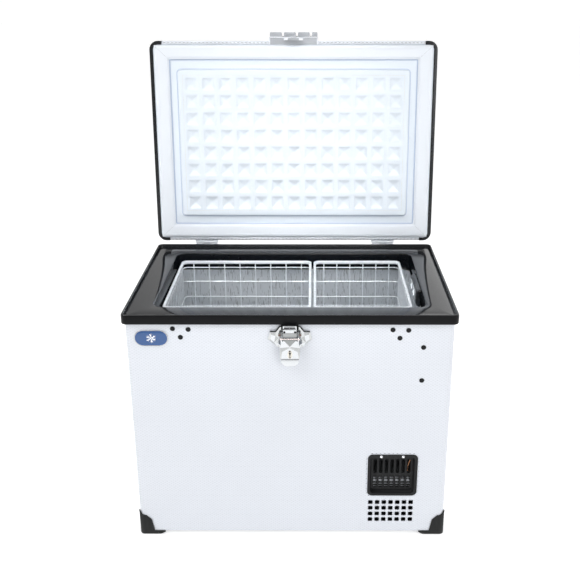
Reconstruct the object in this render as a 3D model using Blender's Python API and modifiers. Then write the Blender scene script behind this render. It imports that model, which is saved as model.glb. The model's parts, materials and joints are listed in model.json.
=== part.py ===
"""Compressor cooler fridge: a top-opening chest with its lid held open, two lift-out baskets and a draw latch.

Driving sizes are in millimetres and the scene is in metres, +Z up. X runs across the front, Y runs from the
rim's front face towards the hinges, and Z starts at the underside of the feet. The whole chest hangs from one
empty that puts the row's origin on the floor under the middle of its bounding box. Lid pieces are modelled
closed, from the hinge axis, under an empty that holds the lid open.
"""

import math

import bmesh
import bpy
from mathutils import Matrix, Vector

MM = 0.001
GAP = 0.3
DEPTH_TO_MIDDLE = 256.13

# Rim frame
RIM_W, RIM_D, RIM_TOP, RIM_BAND, RIM_R = 640.0, 449.0, 493.0, 19.5, 12.0
LIP_W, LIP_H = 5.0, 5.0
MOUTH_X, MOUTH_Y0, MOUTH_Y1, MOUTH_R = 266.0, 57.0, 391.0, 19.0
NECK_BOTTOM, NECK_T = 449.0, 3.0

# Casing
CASE_INSET, CASE_BOTTOM, SHEET = 6.5, 7.0, 1.2
CASE_X = RIM_W / 2 - CASE_INSET
CASE_Y0, CASE_Y1 = CASE_INSET, RIM_D - CASE_INSET
CASE_TOP = 484.0
PAN_TOP = 9.5

# Tub
TUB_FLOOR, TUB_STEP_FLOOR, TUB_STEP_X = 110.0, 250.0, 44.0
BAY_X, BAY_TOP = 76.0, 220.0

# Vent and punched holes
VENT_X0, VENT_X1, VENT_Z0, VENT_Z1, VENT_R = 153.0, 256.0, 92.0, 189.0, 11.0
HOLE_X0, HOLE_Z0, HOLE_PITCH, HOLE_W, HOLE_H, HOLE_COLS, HOLE_ROWS = 161.5, 35.2, 13.75, 9.0, 7.6, 7, 4

BASIN_X0, BASIN_X1, BASIN_Z0, BASIN_Z1, BASIN_WALL = 159.0, 249.0, 98.0, 183.0, 2.5
SLOT_X0, SLOT_PITCH, SLOT_HALF, SLOT_COLS = 167.2, 11.3, 3.7, 7
UPPER_SLOT, LOWER_SLOTS = (144, 175), ((132, 141), (118, 128.5), (106, 114.5))
SCREW_XS, SCREW_Z = {"left": 181, "right": 225}, 184.6

# Rear vent, badge and lamp
REAR_VENT_LOW, REAR_VENT_HIGH, REAR_SLOTS, REAR_SLOT_PITCH = (110.3, 439, 60.3), (249.7, 442.2, 199.7), 9, 14
BADGE_LOW, BADGE_HIGH = (-298.5, 4.4, 426.2), (-235.8, 6.2, 458.5)
LAMP_LOW, LAMP_HIGH = (255.5, 170, 442), (265.7, 280, 480)

# Compressor bay
CAN_PLACE, CAN_STEPS = (190, 250, 12), 28
FAN_X, FAN_Y, FAN_Z, FAN_BORE_R, ARM_REACH = 200, 92, 110, 66, 74

# Control panel and carry handles
PANEL_Y0, PANEL_Y1, PANEL_Z0, PANEL_Z1 = 70, 190, 372, 432
BUTTON_Y0, BUTTON_PITCH, BUTTON_Z = 142, 20, 386
HANDLE_Y, HANDLE_Z, HANDLE_OUT = 285, 415, 9

# Power inlets in the rear sheet
INLET_X, AC_Z, AC_SIZE, DC_Z, DC_SIZE = 281.0, 180.0, (34.0, 28.0), 140.0, (28.0, 28.0)

# Lid
LID_W, LID_D, LID_T, LID_R = 638.5, 450.2, 42.0, 19.0
PIVOT_Y, PIVOT_Z, LID_OPEN_DEG = 452.0, 497.7, 94.69
LID_REAR, LID_UNDER = -3.0, -3.7
LID_FRONT = LID_REAR - LID_D
TRIM_W, TRIM_WRAP = 7.0, 27.0
PANEL_X, PANEL_NEAR, PANEL_FAR, PANEL_H = 258.0, 61.0, 388.0, 8.0
POCKET_COLS, POCKET_ROWS, POCKET_PITCH, POCKET_W, POCKET_DEEP = 13, 8, 38.0, 26.5, 5.0

# Baskets
BASKET_Y0, BASKET_Y1, BASKET_TOP, BASKET_T = 79.0, 370.0, 478.0, 3.0

# Latch
LEVER_PIN_Y, LEVER_PIN_Z = -3.0, 456.0
HOOK_PIN_Y, HOOK_PIN_Z = -9.0, 447.7
LEVER_BACK_Y, LOCK_Z = -12.2, 416

HINGE_X0, HINGE_X1, PIN_R, KNUCKLE_R = 180.0, 233.0, 1.2, 2.7


def clear_scene():
    for thing in list(bpy.data.objects):
        bpy.data.objects.remove(thing, do_unlink=True)


def new_collection(name):
    made = bpy.data.collections.new(name)
    bpy.context.scene.collection.children.link(made)
    return made


clear_scene()
PARTS = new_collection("compressor_cooler_fridge")
CUTTERS = new_collection("cutters")
CUTTERS.hide_render = True


def material(name, colour, roughness, metallic=0.0, alpha=1.0):
    made = bpy.data.materials.new(name)
    made.use_nodes = True
    shader = made.node_tree.nodes["Principled BSDF"]
    shader.inputs["Base Color"].default_value = (*colour, 1.0)
    shader.inputs["Roughness"].default_value = roughness
    shader.inputs["Metallic"].default_value = metallic
    shader.inputs["Alpha"].default_value = alpha
    return made


WHITE_METAL = material("white_embossed_metal", (0.86, 0.88, 0.92), 0.35)
BLACK_PLASTIC = material("black_plastic", (0.015, 0.016, 0.018), 0.3)
WHITE_PLASTIC = material("white_plastic", (0.85, 0.88, 0.93), 0.35)
WHITE_RUBBER = material("white_rubber", (0.84, 0.87, 0.92), 0.5)
DARK_RUBBER = material("dark_rubber", (0.02, 0.02, 0.022), 0.7)
CHROME = material("chrome", (0.8, 0.8, 0.8), 0.12, 1.0)
GREY_METAL = material("grey_metal", (0.55, 0.57, 0.59), 0.4, 0.8)
STEEL = material("steel", (0.5, 0.5, 0.5), 0.4, 1.0)
COPPER = material("copper", (0.75, 0.4, 0.22), 0.3, 1.0)
FOAM = material("foam", (0.85, 0.76, 0.5), 0.9)
WIRE_WHITE = material("coated_wire", (0.88, 0.9, 0.92), 0.35)
BLACK_METAL = material("black_metal", (0.03, 0.03, 0.03), 0.45, 0.3)
CLEAR = material("clear_lens", (0.9, 0.93, 0.95), 0.08, 0.0, 0.5)
GREEN_BOARD = material("board_housing", (0.12, 0.13, 0.14), 0.5)


def empty(name, place, parent=None):
    made = bpy.data.objects.new(name, None)
    made.parent = parent
    made.location = Vector(place) * MM
    PARTS.objects.link(made)
    return made


CHEST = empty("chest_origin", (0, -DEPTH_TO_MIDDLE, 0))
LID = empty("lid_axis", (0, PIVOT_Y, PIVOT_Z), CHEST)
LID.rotation_euler.x = -math.radians(LID_OPEN_DEG)


def add_object(name, mesh, place, look, parent):
    """A named part with a material, or a hidden cutter when it has none."""
    made = bpy.data.objects.new(name, mesh)
    made.parent = parent
    made.location = Vector(place) * MM
    if look is None:
        CUTTERS.objects.link(made)
        made.hide_render = True
        made.display_type = "WIRE"
    else:
        PARTS.objects.link(made)
        if hasattr(mesh, "materials"):
            mesh.materials.append(look)
    return made


def mesh_of(bm, name, smooth=False):
    bmesh.ops.recalc_face_normals(bm, faces=bm.faces[:])
    mesh = bpy.data.meshes.new(name)
    bm.to_mesh(mesh)
    bm.free()
    if smooth:
        mesh.shade_smooth()
        mesh.set_sharp_from_angle(angle=math.radians(35))
    return mesh


def along(edge, axis):
    line = edge.verts[0].co - edge.verts[1].co
    return abs(line[axis]) > 0.99 * line.length


def box(name, low, high, look=None, parent=CHEST, radius=0.0, axis=2, segments=3, only=None, rim=0.0, foot=0.0):
    """A block between two corners. radius rounds the edges along one axis, all of them or those that only()
    picks by their place, and rim and foot round its top and bottom edges."""
    low, high = Vector(low) * MM, Vector(high) * MM
    centre, size = (low + high) / 2, high - low
    bm = bmesh.new()
    bmesh.ops.create_cube(bm, size=1.0, matrix=Matrix.Diagonal((*size, 1.0)))
    if radius:
        edges = [e for e in bm.edges if along(e, axis)]
        if only:
            edges = [e for e in edges if only((e.verts[0].co + e.verts[1].co) / 2)]
        bmesh.ops.bevel(bm, geom=edges, offset=radius * MM, segments=segments, profile=0.5, affect="EDGES")
    for width, side in ((rim, 1), (foot, -1)):
        if width:
            level = side * size.z / 2
            edges = [e for e in bm.edges if all(abs(v.co.z - level) < 1e-6 for v in e.verts)]
            bmesh.ops.bevel(bm, geom=edges, offset=width * MM, segments=2, profile=0.5, affect="EDGES")
    return add_object(name, mesh_of(bm, name, bool(radius or rim or foot)), centre / MM, look, parent)


def rod(name, start, end, radius, look=None, parent=CHEST, segments=16, end_radius=None):
    """A cylinder or cone between two points."""
    start, end = Vector(start) * MM, Vector(end) * MM
    line = end - start
    bm = bmesh.new()
    turn = line.to_track_quat("Z", "Y").to_matrix().to_4x4()
    far = radius if end_radius is None else end_radius
    bmesh.ops.create_cone(bm, cap_ends=True, segments=segments, radius1=radius * MM, radius2=far * MM,
                          depth=line.length, matrix=turn)
    return add_object(name, mesh_of(bm, name, True), (start + end) / 2 / MM, look, parent)


def turned(name, profile, place, direction, look=None, parent=CHEST, steps=20):
    """A profile of (radius, height) points, from the axis at the top down to the axis at the bottom, turned."""
    bm = bmesh.new()
    points = [bm.verts.new((r * MM, 0.0, h * MM)) for r, h in profile]
    for first, second in zip(points, points[1:]):
        bm.edges.new((first, second))
    mesh = bpy.data.meshes.new(name)
    bm.to_mesh(mesh)
    bm.free()
    made = add_object(name, mesh, place, look, parent)
    made.rotation_mode = "QUATERNION"
    made.rotation_quaternion = Vector(direction).to_track_quat("Z", "Y")
    screw = made.modifiers.new("turn", "SCREW")
    screw.axis = "Z"
    screw.steps = screw.render_steps = steps
    screw.use_merge_vertices = True
    screw.merge_threshold = 0.00001
    screw.use_smooth_shade = True
    return made


def plate(name, outline, thickness, place, facing, look=None, parent=CHEST):
    """A flat outline of (x, y) points, extruded to both sides of its plane."""
    curve = bpy.data.curves.new(name, "CURVE")
    curve.dimensions = "2D"
    curve.fill_mode = "BOTH"
    curve.extrude = thickness * MM / 2
    spline = curve.splines.new("POLY")
    spline.points.add(len(outline) - 1)
    for point, (x, y) in zip(spline.points, outline):
        point.co = (x * MM, y * MM, 0.0, 1.0)
    spline.use_cyclic_u = True
    return to_mesh(add_object(name, curve, place, look, parent), facing)


def to_mesh(made, facing=None):
    """The curve object made a mesh object, with its caps welded."""
    if facing:
        made.rotation_euler = facing
    bpy.context.view_layer.update()
    graph = bpy.context.evaluated_depsgraph_get()
    mesh = bpy.data.meshes.new_from_object(made.evaluated_get(graph))
    bm = bmesh.new()
    bm.from_mesh(mesh)
    bmesh.ops.remove_doubles(bm, verts=bm.verts[:], dist=0.000005)
    bmesh.ops.recalc_face_normals(bm, faces=bm.faces[:])
    bm.to_mesh(mesh)
    bm.free()
    name, parent, place, turn = made.name, made.parent, made.location.copy(), made.rotation_euler.copy()
    home, hidden = made.users_collection[0], made.hide_render
    bpy.data.objects.remove(made, do_unlink=True)
    solid = bpy.data.objects.new(name, mesh)
    solid.parent, solid.location, solid.rotation_euler = parent, place, turn
    solid.hide_render = hidden
    solid.display_type = "WIRE" if hidden else "TEXTURED"
    home.objects.link(solid)
    return solid


def tube(name, points, radius, look, parent=CHEST, closed=False):
    """A round wire or pipe through the points."""
    curve = bpy.data.curves.new(name, "CURVE")
    curve.dimensions = "3D"
    curve.bevel_depth = radius * MM
    curve.bevel_resolution = 2
    curve.use_fill_caps = not closed
    spline = curve.splines.new("POLY")
    spline.points.add(len(points) - 1)
    for point, place in zip(spline.points, points):
        point.co = (*(Vector(place) * MM), 1.0)
    spline.use_cyclic_u = closed
    curve.materials.append(look)
    made = bpy.data.objects.new(name, curve)
    made.parent = parent
    PARTS.objects.link(made)
    return made


def smooth_path(points, steps=4):
    """Points on a Catmull-Rom curve through the given ones."""
    points = [Vector(p) for p in points]
    padded = [2 * points[0] - points[1], *points, 2 * points[-1] - points[-2]]
    made = []
    for a, b, c, d in zip(padded, padded[1:], padded[2:], padded[3:]):
        for k in range(steps):
            t = k / steps
            made.append(0.5 * (2 * b + (c - a) * t + (2 * a - 5 * b + 4 * c - d) * t * t
                               + (3 * b - 3 * c + d - a) * t ** 3))
    return made + [points[-1]]


def boolean(target, other, operation):
    step = target.modifiers.new(f"{operation.lower()}_{other.name}", "BOOLEAN")
    step.operation = operation
    step.solver = "EXACT"
    step.object = other
    return target


def cut(target, *others):
    for other in others:
        boolean(target, other, "DIFFERENCE")
    return target


def join(target, *others):
    for other in others:
        boolean(target, other, "UNION")
    return target


def arc(cx, cy, radius, start, end, steps):
    """Points on a circular arc, with its angles in degrees."""
    angles = [math.radians(start + (end - start) * k / steps) for k in range(steps + 1)]
    return [(cx + radius * math.cos(a), cy + radius * math.sin(a)) for a in angles]


# ---- chest ----------------------------------------------------------------------------------------------

def outer_casing():
    """The wrapped sheet, with the vent opening, the punched grid and the rear vent opening."""
    shell = box("outer_casing", (-CASE_X, CASE_Y0, CASE_BOTTOM), (CASE_X, CASE_Y1, CASE_TOP), WHITE_METAL,
                radius=9, segments=4)
    t = SHEET
    cut(shell, box("casing_hollow", (-CASE_X + t, CASE_Y0 + t, 0), (CASE_X - t, CASE_Y1 - t, 500),
                   radius=8, segments=4))
    cut(shell, box("vent_opening", (VENT_X0, 0, VENT_Z0), (VENT_X1, 12, VENT_Z1), radius=VENT_R, axis=1))
    cut(shell, box("rear_vent_opening", (110, 436, 60), (250, 450, 200), radius=VENT_R, axis=1))
    for name, z, (width, height) in (("ac", AC_Z, AC_SIZE), ("dc", DC_Z, DC_SIZE)):
        cut(shell, box(f"{name}_opening", (INLET_X - width / 2 + 2.5, 436, z - height / 2 + 2.5),
                       (INLET_X + width / 2 - 2.5, 450, z + height / 2 - 2.5), radius=3, axis=1))
    bm = bmesh.new()
    for column in range(HOLE_COLS):
        for row in range(HOLE_ROWS):
            spot = Vector((HOLE_X0 + column * HOLE_PITCH, 8, HOLE_Z0 + row * HOLE_PITCH)) * MM
            size = Matrix.Diagonal((HOLE_W * MM, 12 * MM, HOLE_H * MM, 1.0))
            made = bmesh.ops.create_cube(bm, size=1.0, matrix=Matrix.Translation(spot) @ size)
            edges = {e for v in made["verts"] for e in v.link_edges if along(e, 1)}
            bmesh.ops.bevel(bm, geom=list(edges), offset=2 * MM, segments=2, profile=0.5, affect="EDGES")
    return cut(shell, add_object("punched_grid", mesh_of(bm, "punched_grid"), (0, 0, 0), None, CHEST))


def base_pan():
    pan = box("base_pan", (-CASE_X + 1.5, CASE_Y0 + 1.5, 8), (CASE_X - 1.5, CASE_Y1 - 1.5, PAN_TOP), STEEL,
              radius=9, segments=4)
    for number, x in enumerate((-150, 0, 150)):
        join(pan, box(f"pan_rib_{number}", (x - 20, 70, 4), (x + 20, 380, 8.5), foot=1.5))
    return pan


def insulation_foam():
    inner = SHEET + GAP
    foam = box("insulation_foam", (-CASE_X + inner, CASE_Y0 + inner, PAN_TOP + GAP),
               (CASE_X - inner, CASE_Y1 - inner, CASE_TOP), FOAM, radius=7.5, segments=3)
    g = GAP + SHEET
    cut(foam, box("foam_deep", (-MOUTH_X - g, MOUTH_Y0 - g, TUB_FLOOR - g), (TUB_STEP_X + g, MOUTH_Y1 + g, 500),
                  radius=MOUTH_R + g))
    cut(foam, box("foam_shallow", (-MOUTH_X - g, MOUTH_Y0 - g, TUB_STEP_FLOOR - g),
                  (MOUTH_X + g, MOUTH_Y1 + g, 500), radius=MOUTH_R + g))
    n = NECK_T + GAP
    cut(foam, box("foam_neck", (-MOUTH_X - n, MOUTH_Y0 - n, NECK_BOTTOM - GAP), (MOUTH_X + n, MOUTH_Y1 + n, 500),
                  radius=MOUTH_R + n))
    cut(foam, box("foam_coil_groove", (-MOUTH_X - 9, MOUTH_Y0 - 9, 264), (MOUTH_X + 9, MOUTH_Y1 + 9, 402),
                  radius=MOUTH_R + 9))
    return cut(foam, box("foam_bay", (BAY_X - GAP, 0, 0), (330, 450, BAY_TOP + GAP)))


def inner_tub():
    """The liner: a deep well on the left and a shallow one over the compressor bay."""
    t, top = SHEET, NECK_BOTTOM - GAP
    tub = box("inner_tub", (-MOUTH_X - t, MOUTH_Y0 - t, TUB_FLOOR - t), (TUB_STEP_X + t, MOUTH_Y1 + t, top),
              GREY_METAL, radius=MOUTH_R + t)
    join(tub, box("tub_shallow", (-MOUTH_X - t, MOUTH_Y0 - t, TUB_STEP_FLOOR - t), (MOUTH_X + t, MOUTH_Y1 + t, top),
                  radius=MOUTH_R + t))
    cut(tub, box("tub_deep_well", (-MOUTH_X, MOUTH_Y0, TUB_FLOOR), (TUB_STEP_X, MOUTH_Y1, 500), radius=MOUTH_R))
    return cut(tub, box("tub_shallow_well", (-MOUTH_X, MOUTH_Y0, TUB_STEP_FLOOR), (MOUTH_X, MOUTH_Y1, 500),
                        radius=MOUTH_R))


def evaporator_coil():
    """Three square turns of pipe round the tub, joined by short risers."""
    out, bend, levels, points = 5.2, 24, (280, 320, 360), []
    x1, y0, y1 = MOUTH_X + out, MOUTH_Y0 - out, MOUTH_Y1 + out
    corners = ((x1, y0), (x1, y1), (-x1, y1), (-x1, y0))
    for level in levels:
        for step, (cx, cy) in enumerate(corners):
            inward = Vector((-math.copysign(bend, cx), math.copysign(bend, 200 - cy)))
            rise = level + 40 * step / 4
            spread = arc(cx + inward.x, cy + inward.y, bend, -90 + 90 * step, 90 * step, 3)
            points += [(px, py, rise) for px, py in spread]
    return tube("evaporator_coil", points, 2.6, COPPER)


def top_rim_frame():
    x, band_z = RIM_W / 2, RIM_TOP - RIM_BAND
    frame = box("top_rim_frame", (-x, 0, band_z), (x, RIM_D, RIM_TOP), BLACK_PLASTIC, radius=RIM_R, segments=5,
                rim=2.5)
    g = GAP
    cut(frame, box("rim_underside", (-CASE_X - g, CASE_Y0 - g, 460), (CASE_X + g, CASE_Y1 + g, CASE_TOP + g),
                   radius=9.3, segments=4))
    n = NECK_T
    join(frame, box("rim_neck", (-MOUTH_X - n, MOUTH_Y0 - n, NECK_BOTTOM), (MOUTH_X + n, MOUTH_Y1 + n, 486),
                    radius=MOUTH_R + n))
    cut(frame, box("rim_recess", (-x + LIP_W, LIP_W, RIM_TOP - LIP_H), (x - LIP_W, RIM_D - LIP_W, 500),
                   radius=8, segments=4))
    return cut(frame, box("rim_mouth", (-MOUTH_X, MOUTH_Y0, 440), (MOUTH_X, MOUTH_Y1, 500), radius=MOUTH_R))


def corner_foot(name, side, back):
    """A corner protector: two wings that taper down the base's edges, and a pad under the corner."""
    def x(value):
        return side * value

    def y(value):
        return RIM_D - value if back else value

    def corner_box(label, lo, hi, look=None, **options):
        xs, ys = sorted((x(lo[0]), x(hi[0]))), sorted((y(lo[1]), y(hi[1])))
        return box(label, (xs[0], ys[0], lo[2]), (xs[1], ys[1], hi[2]), look, **options)

    outward = (side, 1 if back else -1)
    foot = corner_box(name, (263, 3, 0), (317, 57, 60), DARK_RUBBER, radius=11, segments=4,
                      only=lambda spot: spot.x * outward[0] > 0 and spot.y * outward[1] > 0)
    cut(foot, corner_box(f"{name}_corner", (200, CASE_Y0 - GAP, CASE_BOTTOM - GAP), (CASE_X + GAP, 120, 70),
                         radius=9.3, segments=4,
                         only=lambda spot: spot.x * outward[0] > 0 and spot.y * outward[1] > 0))
    wing = [(250, 7.2), (288, 7.2), (290, 32), (304, 49), (309, 51), (309, 70), (250, 70)]
    front = plate(f"{name}_front_taper", [(x(a), b) for a, b in wing], 10, (0, y(2.0), 0),
                  (math.pi / 2, 0, 0))
    turned_wing = [(y(320 - a), b) for a, b in wing]
    side_cut = plate(f"{name}_side_taper", turned_wing, 10, (x(CASE_X + GAP + 4.2), 0, 0),
                     (math.pi / 2, 0, math.pi / 2))
    return cut(foot, front, side_cut)


def front_vent_grille():
    g = GAP
    grille = box("front_vent_grille", (VENT_X0 + g, 7.0, VENT_Z0 + g), (VENT_X1 - g, 9.5, VENT_Z1 - g),
                 BLACK_PLASTIC, radius=VENT_R - g, axis=1)
    wall = BASIN_WALL
    join(grille, box("grille_basin", (BASIN_X0, 8, BASIN_Z0), (BASIN_X1, 19, BASIN_Z1), radius=7, axis=1))
    cut(grille, box("grille_basin_hollow", (BASIN_X0 + wall, 0, BASIN_Z0 + wall),
                    (BASIN_X1 - wall, 16.5, BASIN_Z1 - wall), radius=5, axis=1))
    for number in range(SLOT_COLS):
        x = SLOT_X0 + SLOT_PITCH * number
        left, right = x - SLOT_HALF, x + SLOT_HALF
        cut(grille, box(f"grille_upper_slot_{number}", (left, 10, UPPER_SLOT[0]), (right, 25, UPPER_SLOT[1]),
                        radius=3.4, axis=1))
        for row, (z0, z1) in enumerate(LOWER_SLOTS):
            cut(grille, box(f"grille_lower_slot_{number}_{row}", (left, 10, z0), (right, 25, z1)))
    for name, x in SCREW_XS.items():
        cut(grille, rod(f"grille_screw_hole_{name}", (x, 0, SCREW_Z), (x, 12, SCREW_Z), 1.5, segments=12))
    return grille


def vent_screw(name, x):
    profile = [(0, 3.0), (1.8, 2.7), (3.0, 1.6), (3.3, 0.2), (1.1, 0.2), (1.1, -6), (0, -7)]
    return turned(name, profile, (x, CASE_INSET + 0.1, SCREW_Z), (0, -1, 0), CHROME, steps=14)


def rear_vent_grille():
    grille = box("rear_vent_grille", REAR_VENT_LOW, REAR_VENT_HIGH, BLACK_PLASTIC, radius=10.7, axis=1)
    for number in range(REAR_SLOTS):
        z = 74 + REAR_SLOT_PITCH * number
        cut(grille, box(f"rear_slot_{number}", (124, 430, z - 3.5), (236, 450, z + 3.5)))
    return grille


def badge_plate():
    return box("badge_plate", BADGE_LOW, BADGE_HIGH, GREY_METAL, radius=9, axis=1, segments=4)


# ---- compressor bay -------------------------------------------------------------------------------------

def bay_bulkhead():
    """The folded sheet that walls the bay off from the foam."""
    wall = box("bay_bulkhead", (BAY_X, 12, PAN_TOP + GAP), (CASE_X - 4.5, 437, BAY_TOP), STEEL)
    return cut(wall, box("bulkhead_room", (BAY_X + SHEET, 0, 0), (330, 450, BAY_TOP - SHEET)))


def compressor():
    profile = [(0, 150), (24, 147), (42, 138), (54, 122), (58, 102), (58, 96), (61, 95), (61, 90),
               (58, 89), (58, 50), (52, 32), (36, 22), (0, 20)]
    return turned("compressor", profile, CAN_PLACE, (0, 0, 1), BLACK_METAL, steps=CAN_STEPS)


def compressor_mount():
    mount = box("compressor_mount", (120, 185, 14), (260, 315, 17), STEEL, radius=12, segments=3)
    for number, (x, y) in enumerate(((132, 197), (248, 197), (132, 303), (248, 303))):
        join(mount, rod(f"mount_bush_{number}", (x, y, PAN_TOP + GAP), (x, y, 24), 7, segments=14))
    return mount


def condenser():
    """A finned block on a pair of header plates."""
    block = box("condenser", (112, 52, 30), (288, 78, 205), BLACK_METAL)
    for number in range(14):
        x = 121 + 12 * number
        cut(block, box(f"fin_gap_{number}", (x, 40, 38), (x + 9, 72, 197)))
    return block


def fan_shroud():
    shroud = box("fan_shroud", (120, 82, 30), (280, 100, 190), BLACK_PLASTIC, radius=8, axis=1)
    return cut(shroud, rod("shroud_bore", (FAN_X, 70, FAN_Z), (FAN_X, 120, FAN_Z), FAN_BORE_R, segments=32))


def fan_motor():
    motor = rod("fan_motor", (FAN_X, 106, FAN_Z), (FAN_X, 130, FAN_Z), 20, BLACK_METAL, segments=20)
    join(motor, rod("motor_shaft", (FAN_X, 84, FAN_Z), (FAN_X, 108, FAN_Z), 2.5, segments=12))
    arm_ends = []
    for number in range(4):
        turn = math.radians(45 + 90 * number)
        x, z = FAN_X + ARM_REACH * math.cos(turn), FAN_Z + ARM_REACH * math.sin(turn)
        join(motor, rod(f"motor_arm_{number}", (FAN_X, 110, FAN_Z), (x, 110, z), 2.5, segments=10))
        arm_ends.append((x, z))
    feet = [rod(f"motor_foot_{number}", (x, 100.3, z), (x, 112, z), 4, segments=10)
            for number, (x, z) in enumerate(arm_ends)]
    return join(motor, *feet)


def fan_rotor():
    """Hub and five pitched blades, on the fan's axis."""
    axle = empty("fan_axle", (FAN_X, FAN_Y, FAN_Z), CHEST)
    hub = rod("fan_rotor", (0, -7, 0), (0, 7, 0), 16, BLACK_PLASTIC, axle, 24)
    for number in range(5):
        blade = box(f"fan_blade_{number}", (12, -1.2, -15), (60, 1.2, 15), parent=axle, radius=1)
        pitch = Matrix.Rotation(math.radians(28), 4, "X")
        blade.rotation_mode = "QUATERNION"
        spin = Matrix.Rotation(math.radians(72 * number), 4, "Y")
        whole = spin @ Matrix.Translation(blade.location) @ pitch
        blade.location, blade.rotation_quaternion, _ = whole.decompose()
        join(hub, blade)
    return cut(hub, rod("rotor_bore", (0, -20, 0), (0, 20, 0), 3.0, parent=axle, segments=12))


def control_module():
    module = box("control_module", (110, 345, 30), (240, 400, 90), GREEN_BOARD, radius=4, segments=2)
    for number in range(8):
        x = 122 + 14 * number
        cut(module, box(f"module_fin_{number}", (x, 350, 78), (x + 7, 395, 95)))
    return module


def filter_drier():
    profile = [(0, 50), (3.2, 50), (3.2, 42), (11, 34), (11, -34), (3.2, -42), (3.2, -50), (0, -50)]
    return turned("filter_drier", profile, (282, 190, 130), (0, 0, 1), COPPER, steps=16)


def pipes():
    tube("discharge_pipe", smooth_path([(240, 215, 150), (262, 180, 176), (296, 120, 182), (298, 60, 178),
                                        (278, 34, 172), (256, 26, 168), (248, 25, 156), (244, 27, 138),
                                        (246, 34, 120), (252, 44, 110)]), 3.0, COPPER)
    tube("suction_pipe", smooth_path([(150, 305, 150), (130, 326, 168), (108, 350, 186), (104, 380, 196),
                                      (106, 410, 206)]), 4.0, COPPER)


def inlet(name, z, width, height):
    """A recessed power socket in the rear sheet: a flange outside and a cup inside the bay."""
    x, wall = INLET_X, CASE_Y1 + GAP
    left, right, low, high = x - width / 2, x + width / 2, z - height / 2, z + height / 2
    socket = box(name, (left, wall, low), (right, wall + 2.7, high), BLACK_PLASTIC, radius=4, axis=1)
    join(socket, box(f"{name}_cup", (left + 3, 422, low + 3), (right - 3, wall + 1, high - 3), radius=3, axis=1))
    return cut(socket, box(f"{name}_hollow", (left + 5, 425, low + 5), (right - 5, 460, high - 5),
                           radius=2, axis=1))


# ---- side controls and handles ----------------------------------------------------------------------------

def control_panel():
    x0 = CASE_X + GAP
    bezel = box("control_panel_bezel", (x0, PANEL_Y0, PANEL_Z0), (x0 + 4, PANEL_Y1, PANEL_Z1), BLACK_PLASTIC,
                radius=8, axis=0)
    cut(bezel, box("display_seat", (x0 + 2.4, 80, 396), (x0 + 10, 136, 424), radius=3, axis=0))
    box("display_lens", (x0 + 2.7, 80.3, 396.3), (x0 + 4.2, 135.7, 423.7), CLEAR, radius=2.7, axis=0)
    for number in range(3):
        y = BUTTON_Y0 + BUTTON_PITCH * number
        cut(bezel, rod(f"button_seat_{number}", (x0 + 1, y, BUTTON_Z), (x0 + 9, y, BUTTON_Z), 5.6))
        turned(f"control_button_{number + 1}", [(0, 4.6), (4.0, 4.3), (5.2, 3.4), (5.2, 0), (0, 0)],
               (x0 + 2.8, y, BUTTON_Z), (1, 0, 0), WHITE_PLASTIC, steps=16)


def carry_handle(name, side):
    """A bail that hangs from two lugs on a plate."""
    wall = side * (CASE_X + GAP)

    def span(a, b):
        return tuple(sorted((wall + side * a, wall + side * b)))

    bail_x = wall + side * HANDLE_OUT
    x0, x1 = span(0, 2.5)
    plate_part = box(f"{name}_bracket", (x0, 215, 398), (x1, 355, 434), BLACK_PLASTIC, radius=6, axis=0)
    for number, (y0, y1) in enumerate(((219, 231), (339, 351))):
        lx0, lx1 = span(1, 16)
        join(plate_part, box(f"{name}_lug_{number}", (lx0, y0, 406), (lx1, y1, 424), radius=5, axis=1))
        cut(plate_part, rod(f"{name}_lug_bore_{number}", (bail_x, 200 + 120 * number, HANDLE_Z),
                            (bail_x, 250 + 120 * number, HANDLE_Z), 3.6))
    axle = empty(f"{name}_axle", (bail_x, HANDLE_Y, HANDLE_Z), CHEST)
    bail = tube(f"{name}_bail", smooth_path([(0, -64, 0), (0, -50, 0), (0, -44, -3), (0, -42, -12), (0, -41, -34),
                                             (0, -36, -44), (0, -20, -48), (0, 20, -48), (0, 36, -44),
                                             (0, 41, -34), (0, 42, -12), (0, 44, -3), (0, 50, 0), (0, 64, 0)], 3),
                3.2, BLACK_METAL, axle)
    return bail


# ---- lamp -------------------------------------------------------------------------------------------------

def interior_lamp():
    housing = box("interior_lamp_housing", LAMP_LOW, LAMP_HIGH, BLACK_PLASTIC, radius=4, axis=1)
    cut(housing, box("lamp_seat", (250, 182, 451), (258.2, 268, 473), radius=5, axis=0))
    box("interior_lamp_lens", (254.4, 182.3, 451.3), (257.9, 267.7, 472.7), CLEAR, radius=4.7, axis=0)


# ---- latch ------------------------------------------------------------------------------------------------

def mirrored(half):
    return half + [(-x, z) for x, z in reversed(half)]


FACING_FRONT = (math.pi / 2, 0, 0)


def latch_base():
    wings = mirrored([(19.8, 428), (26.3, 431), (42.4, 446.7), (38, 463), (27.8, 463), (19, 472.8), (12, 473)])
    base = plate("latch_base", wings, 4.0, (0, 4.2, 0), FACING_FRONT, CHROME)
    for side in (-1, 1):
        x0, x1 = sorted((side * 18.4, side * 22.4))
        join(base, box(f"latch_cheek_{side}", (x0, -7.5, 450), (x1, 4, 462), radius=3, axis=0,
                       only=lambda spot: spot.y < 0))
    y, z = LEVER_PIN_Y, LEVER_PIN_Z
    return join(base, rod("latch_axle", (-20, y, z), (20, y, z), 1.8, segments=12))


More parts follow.
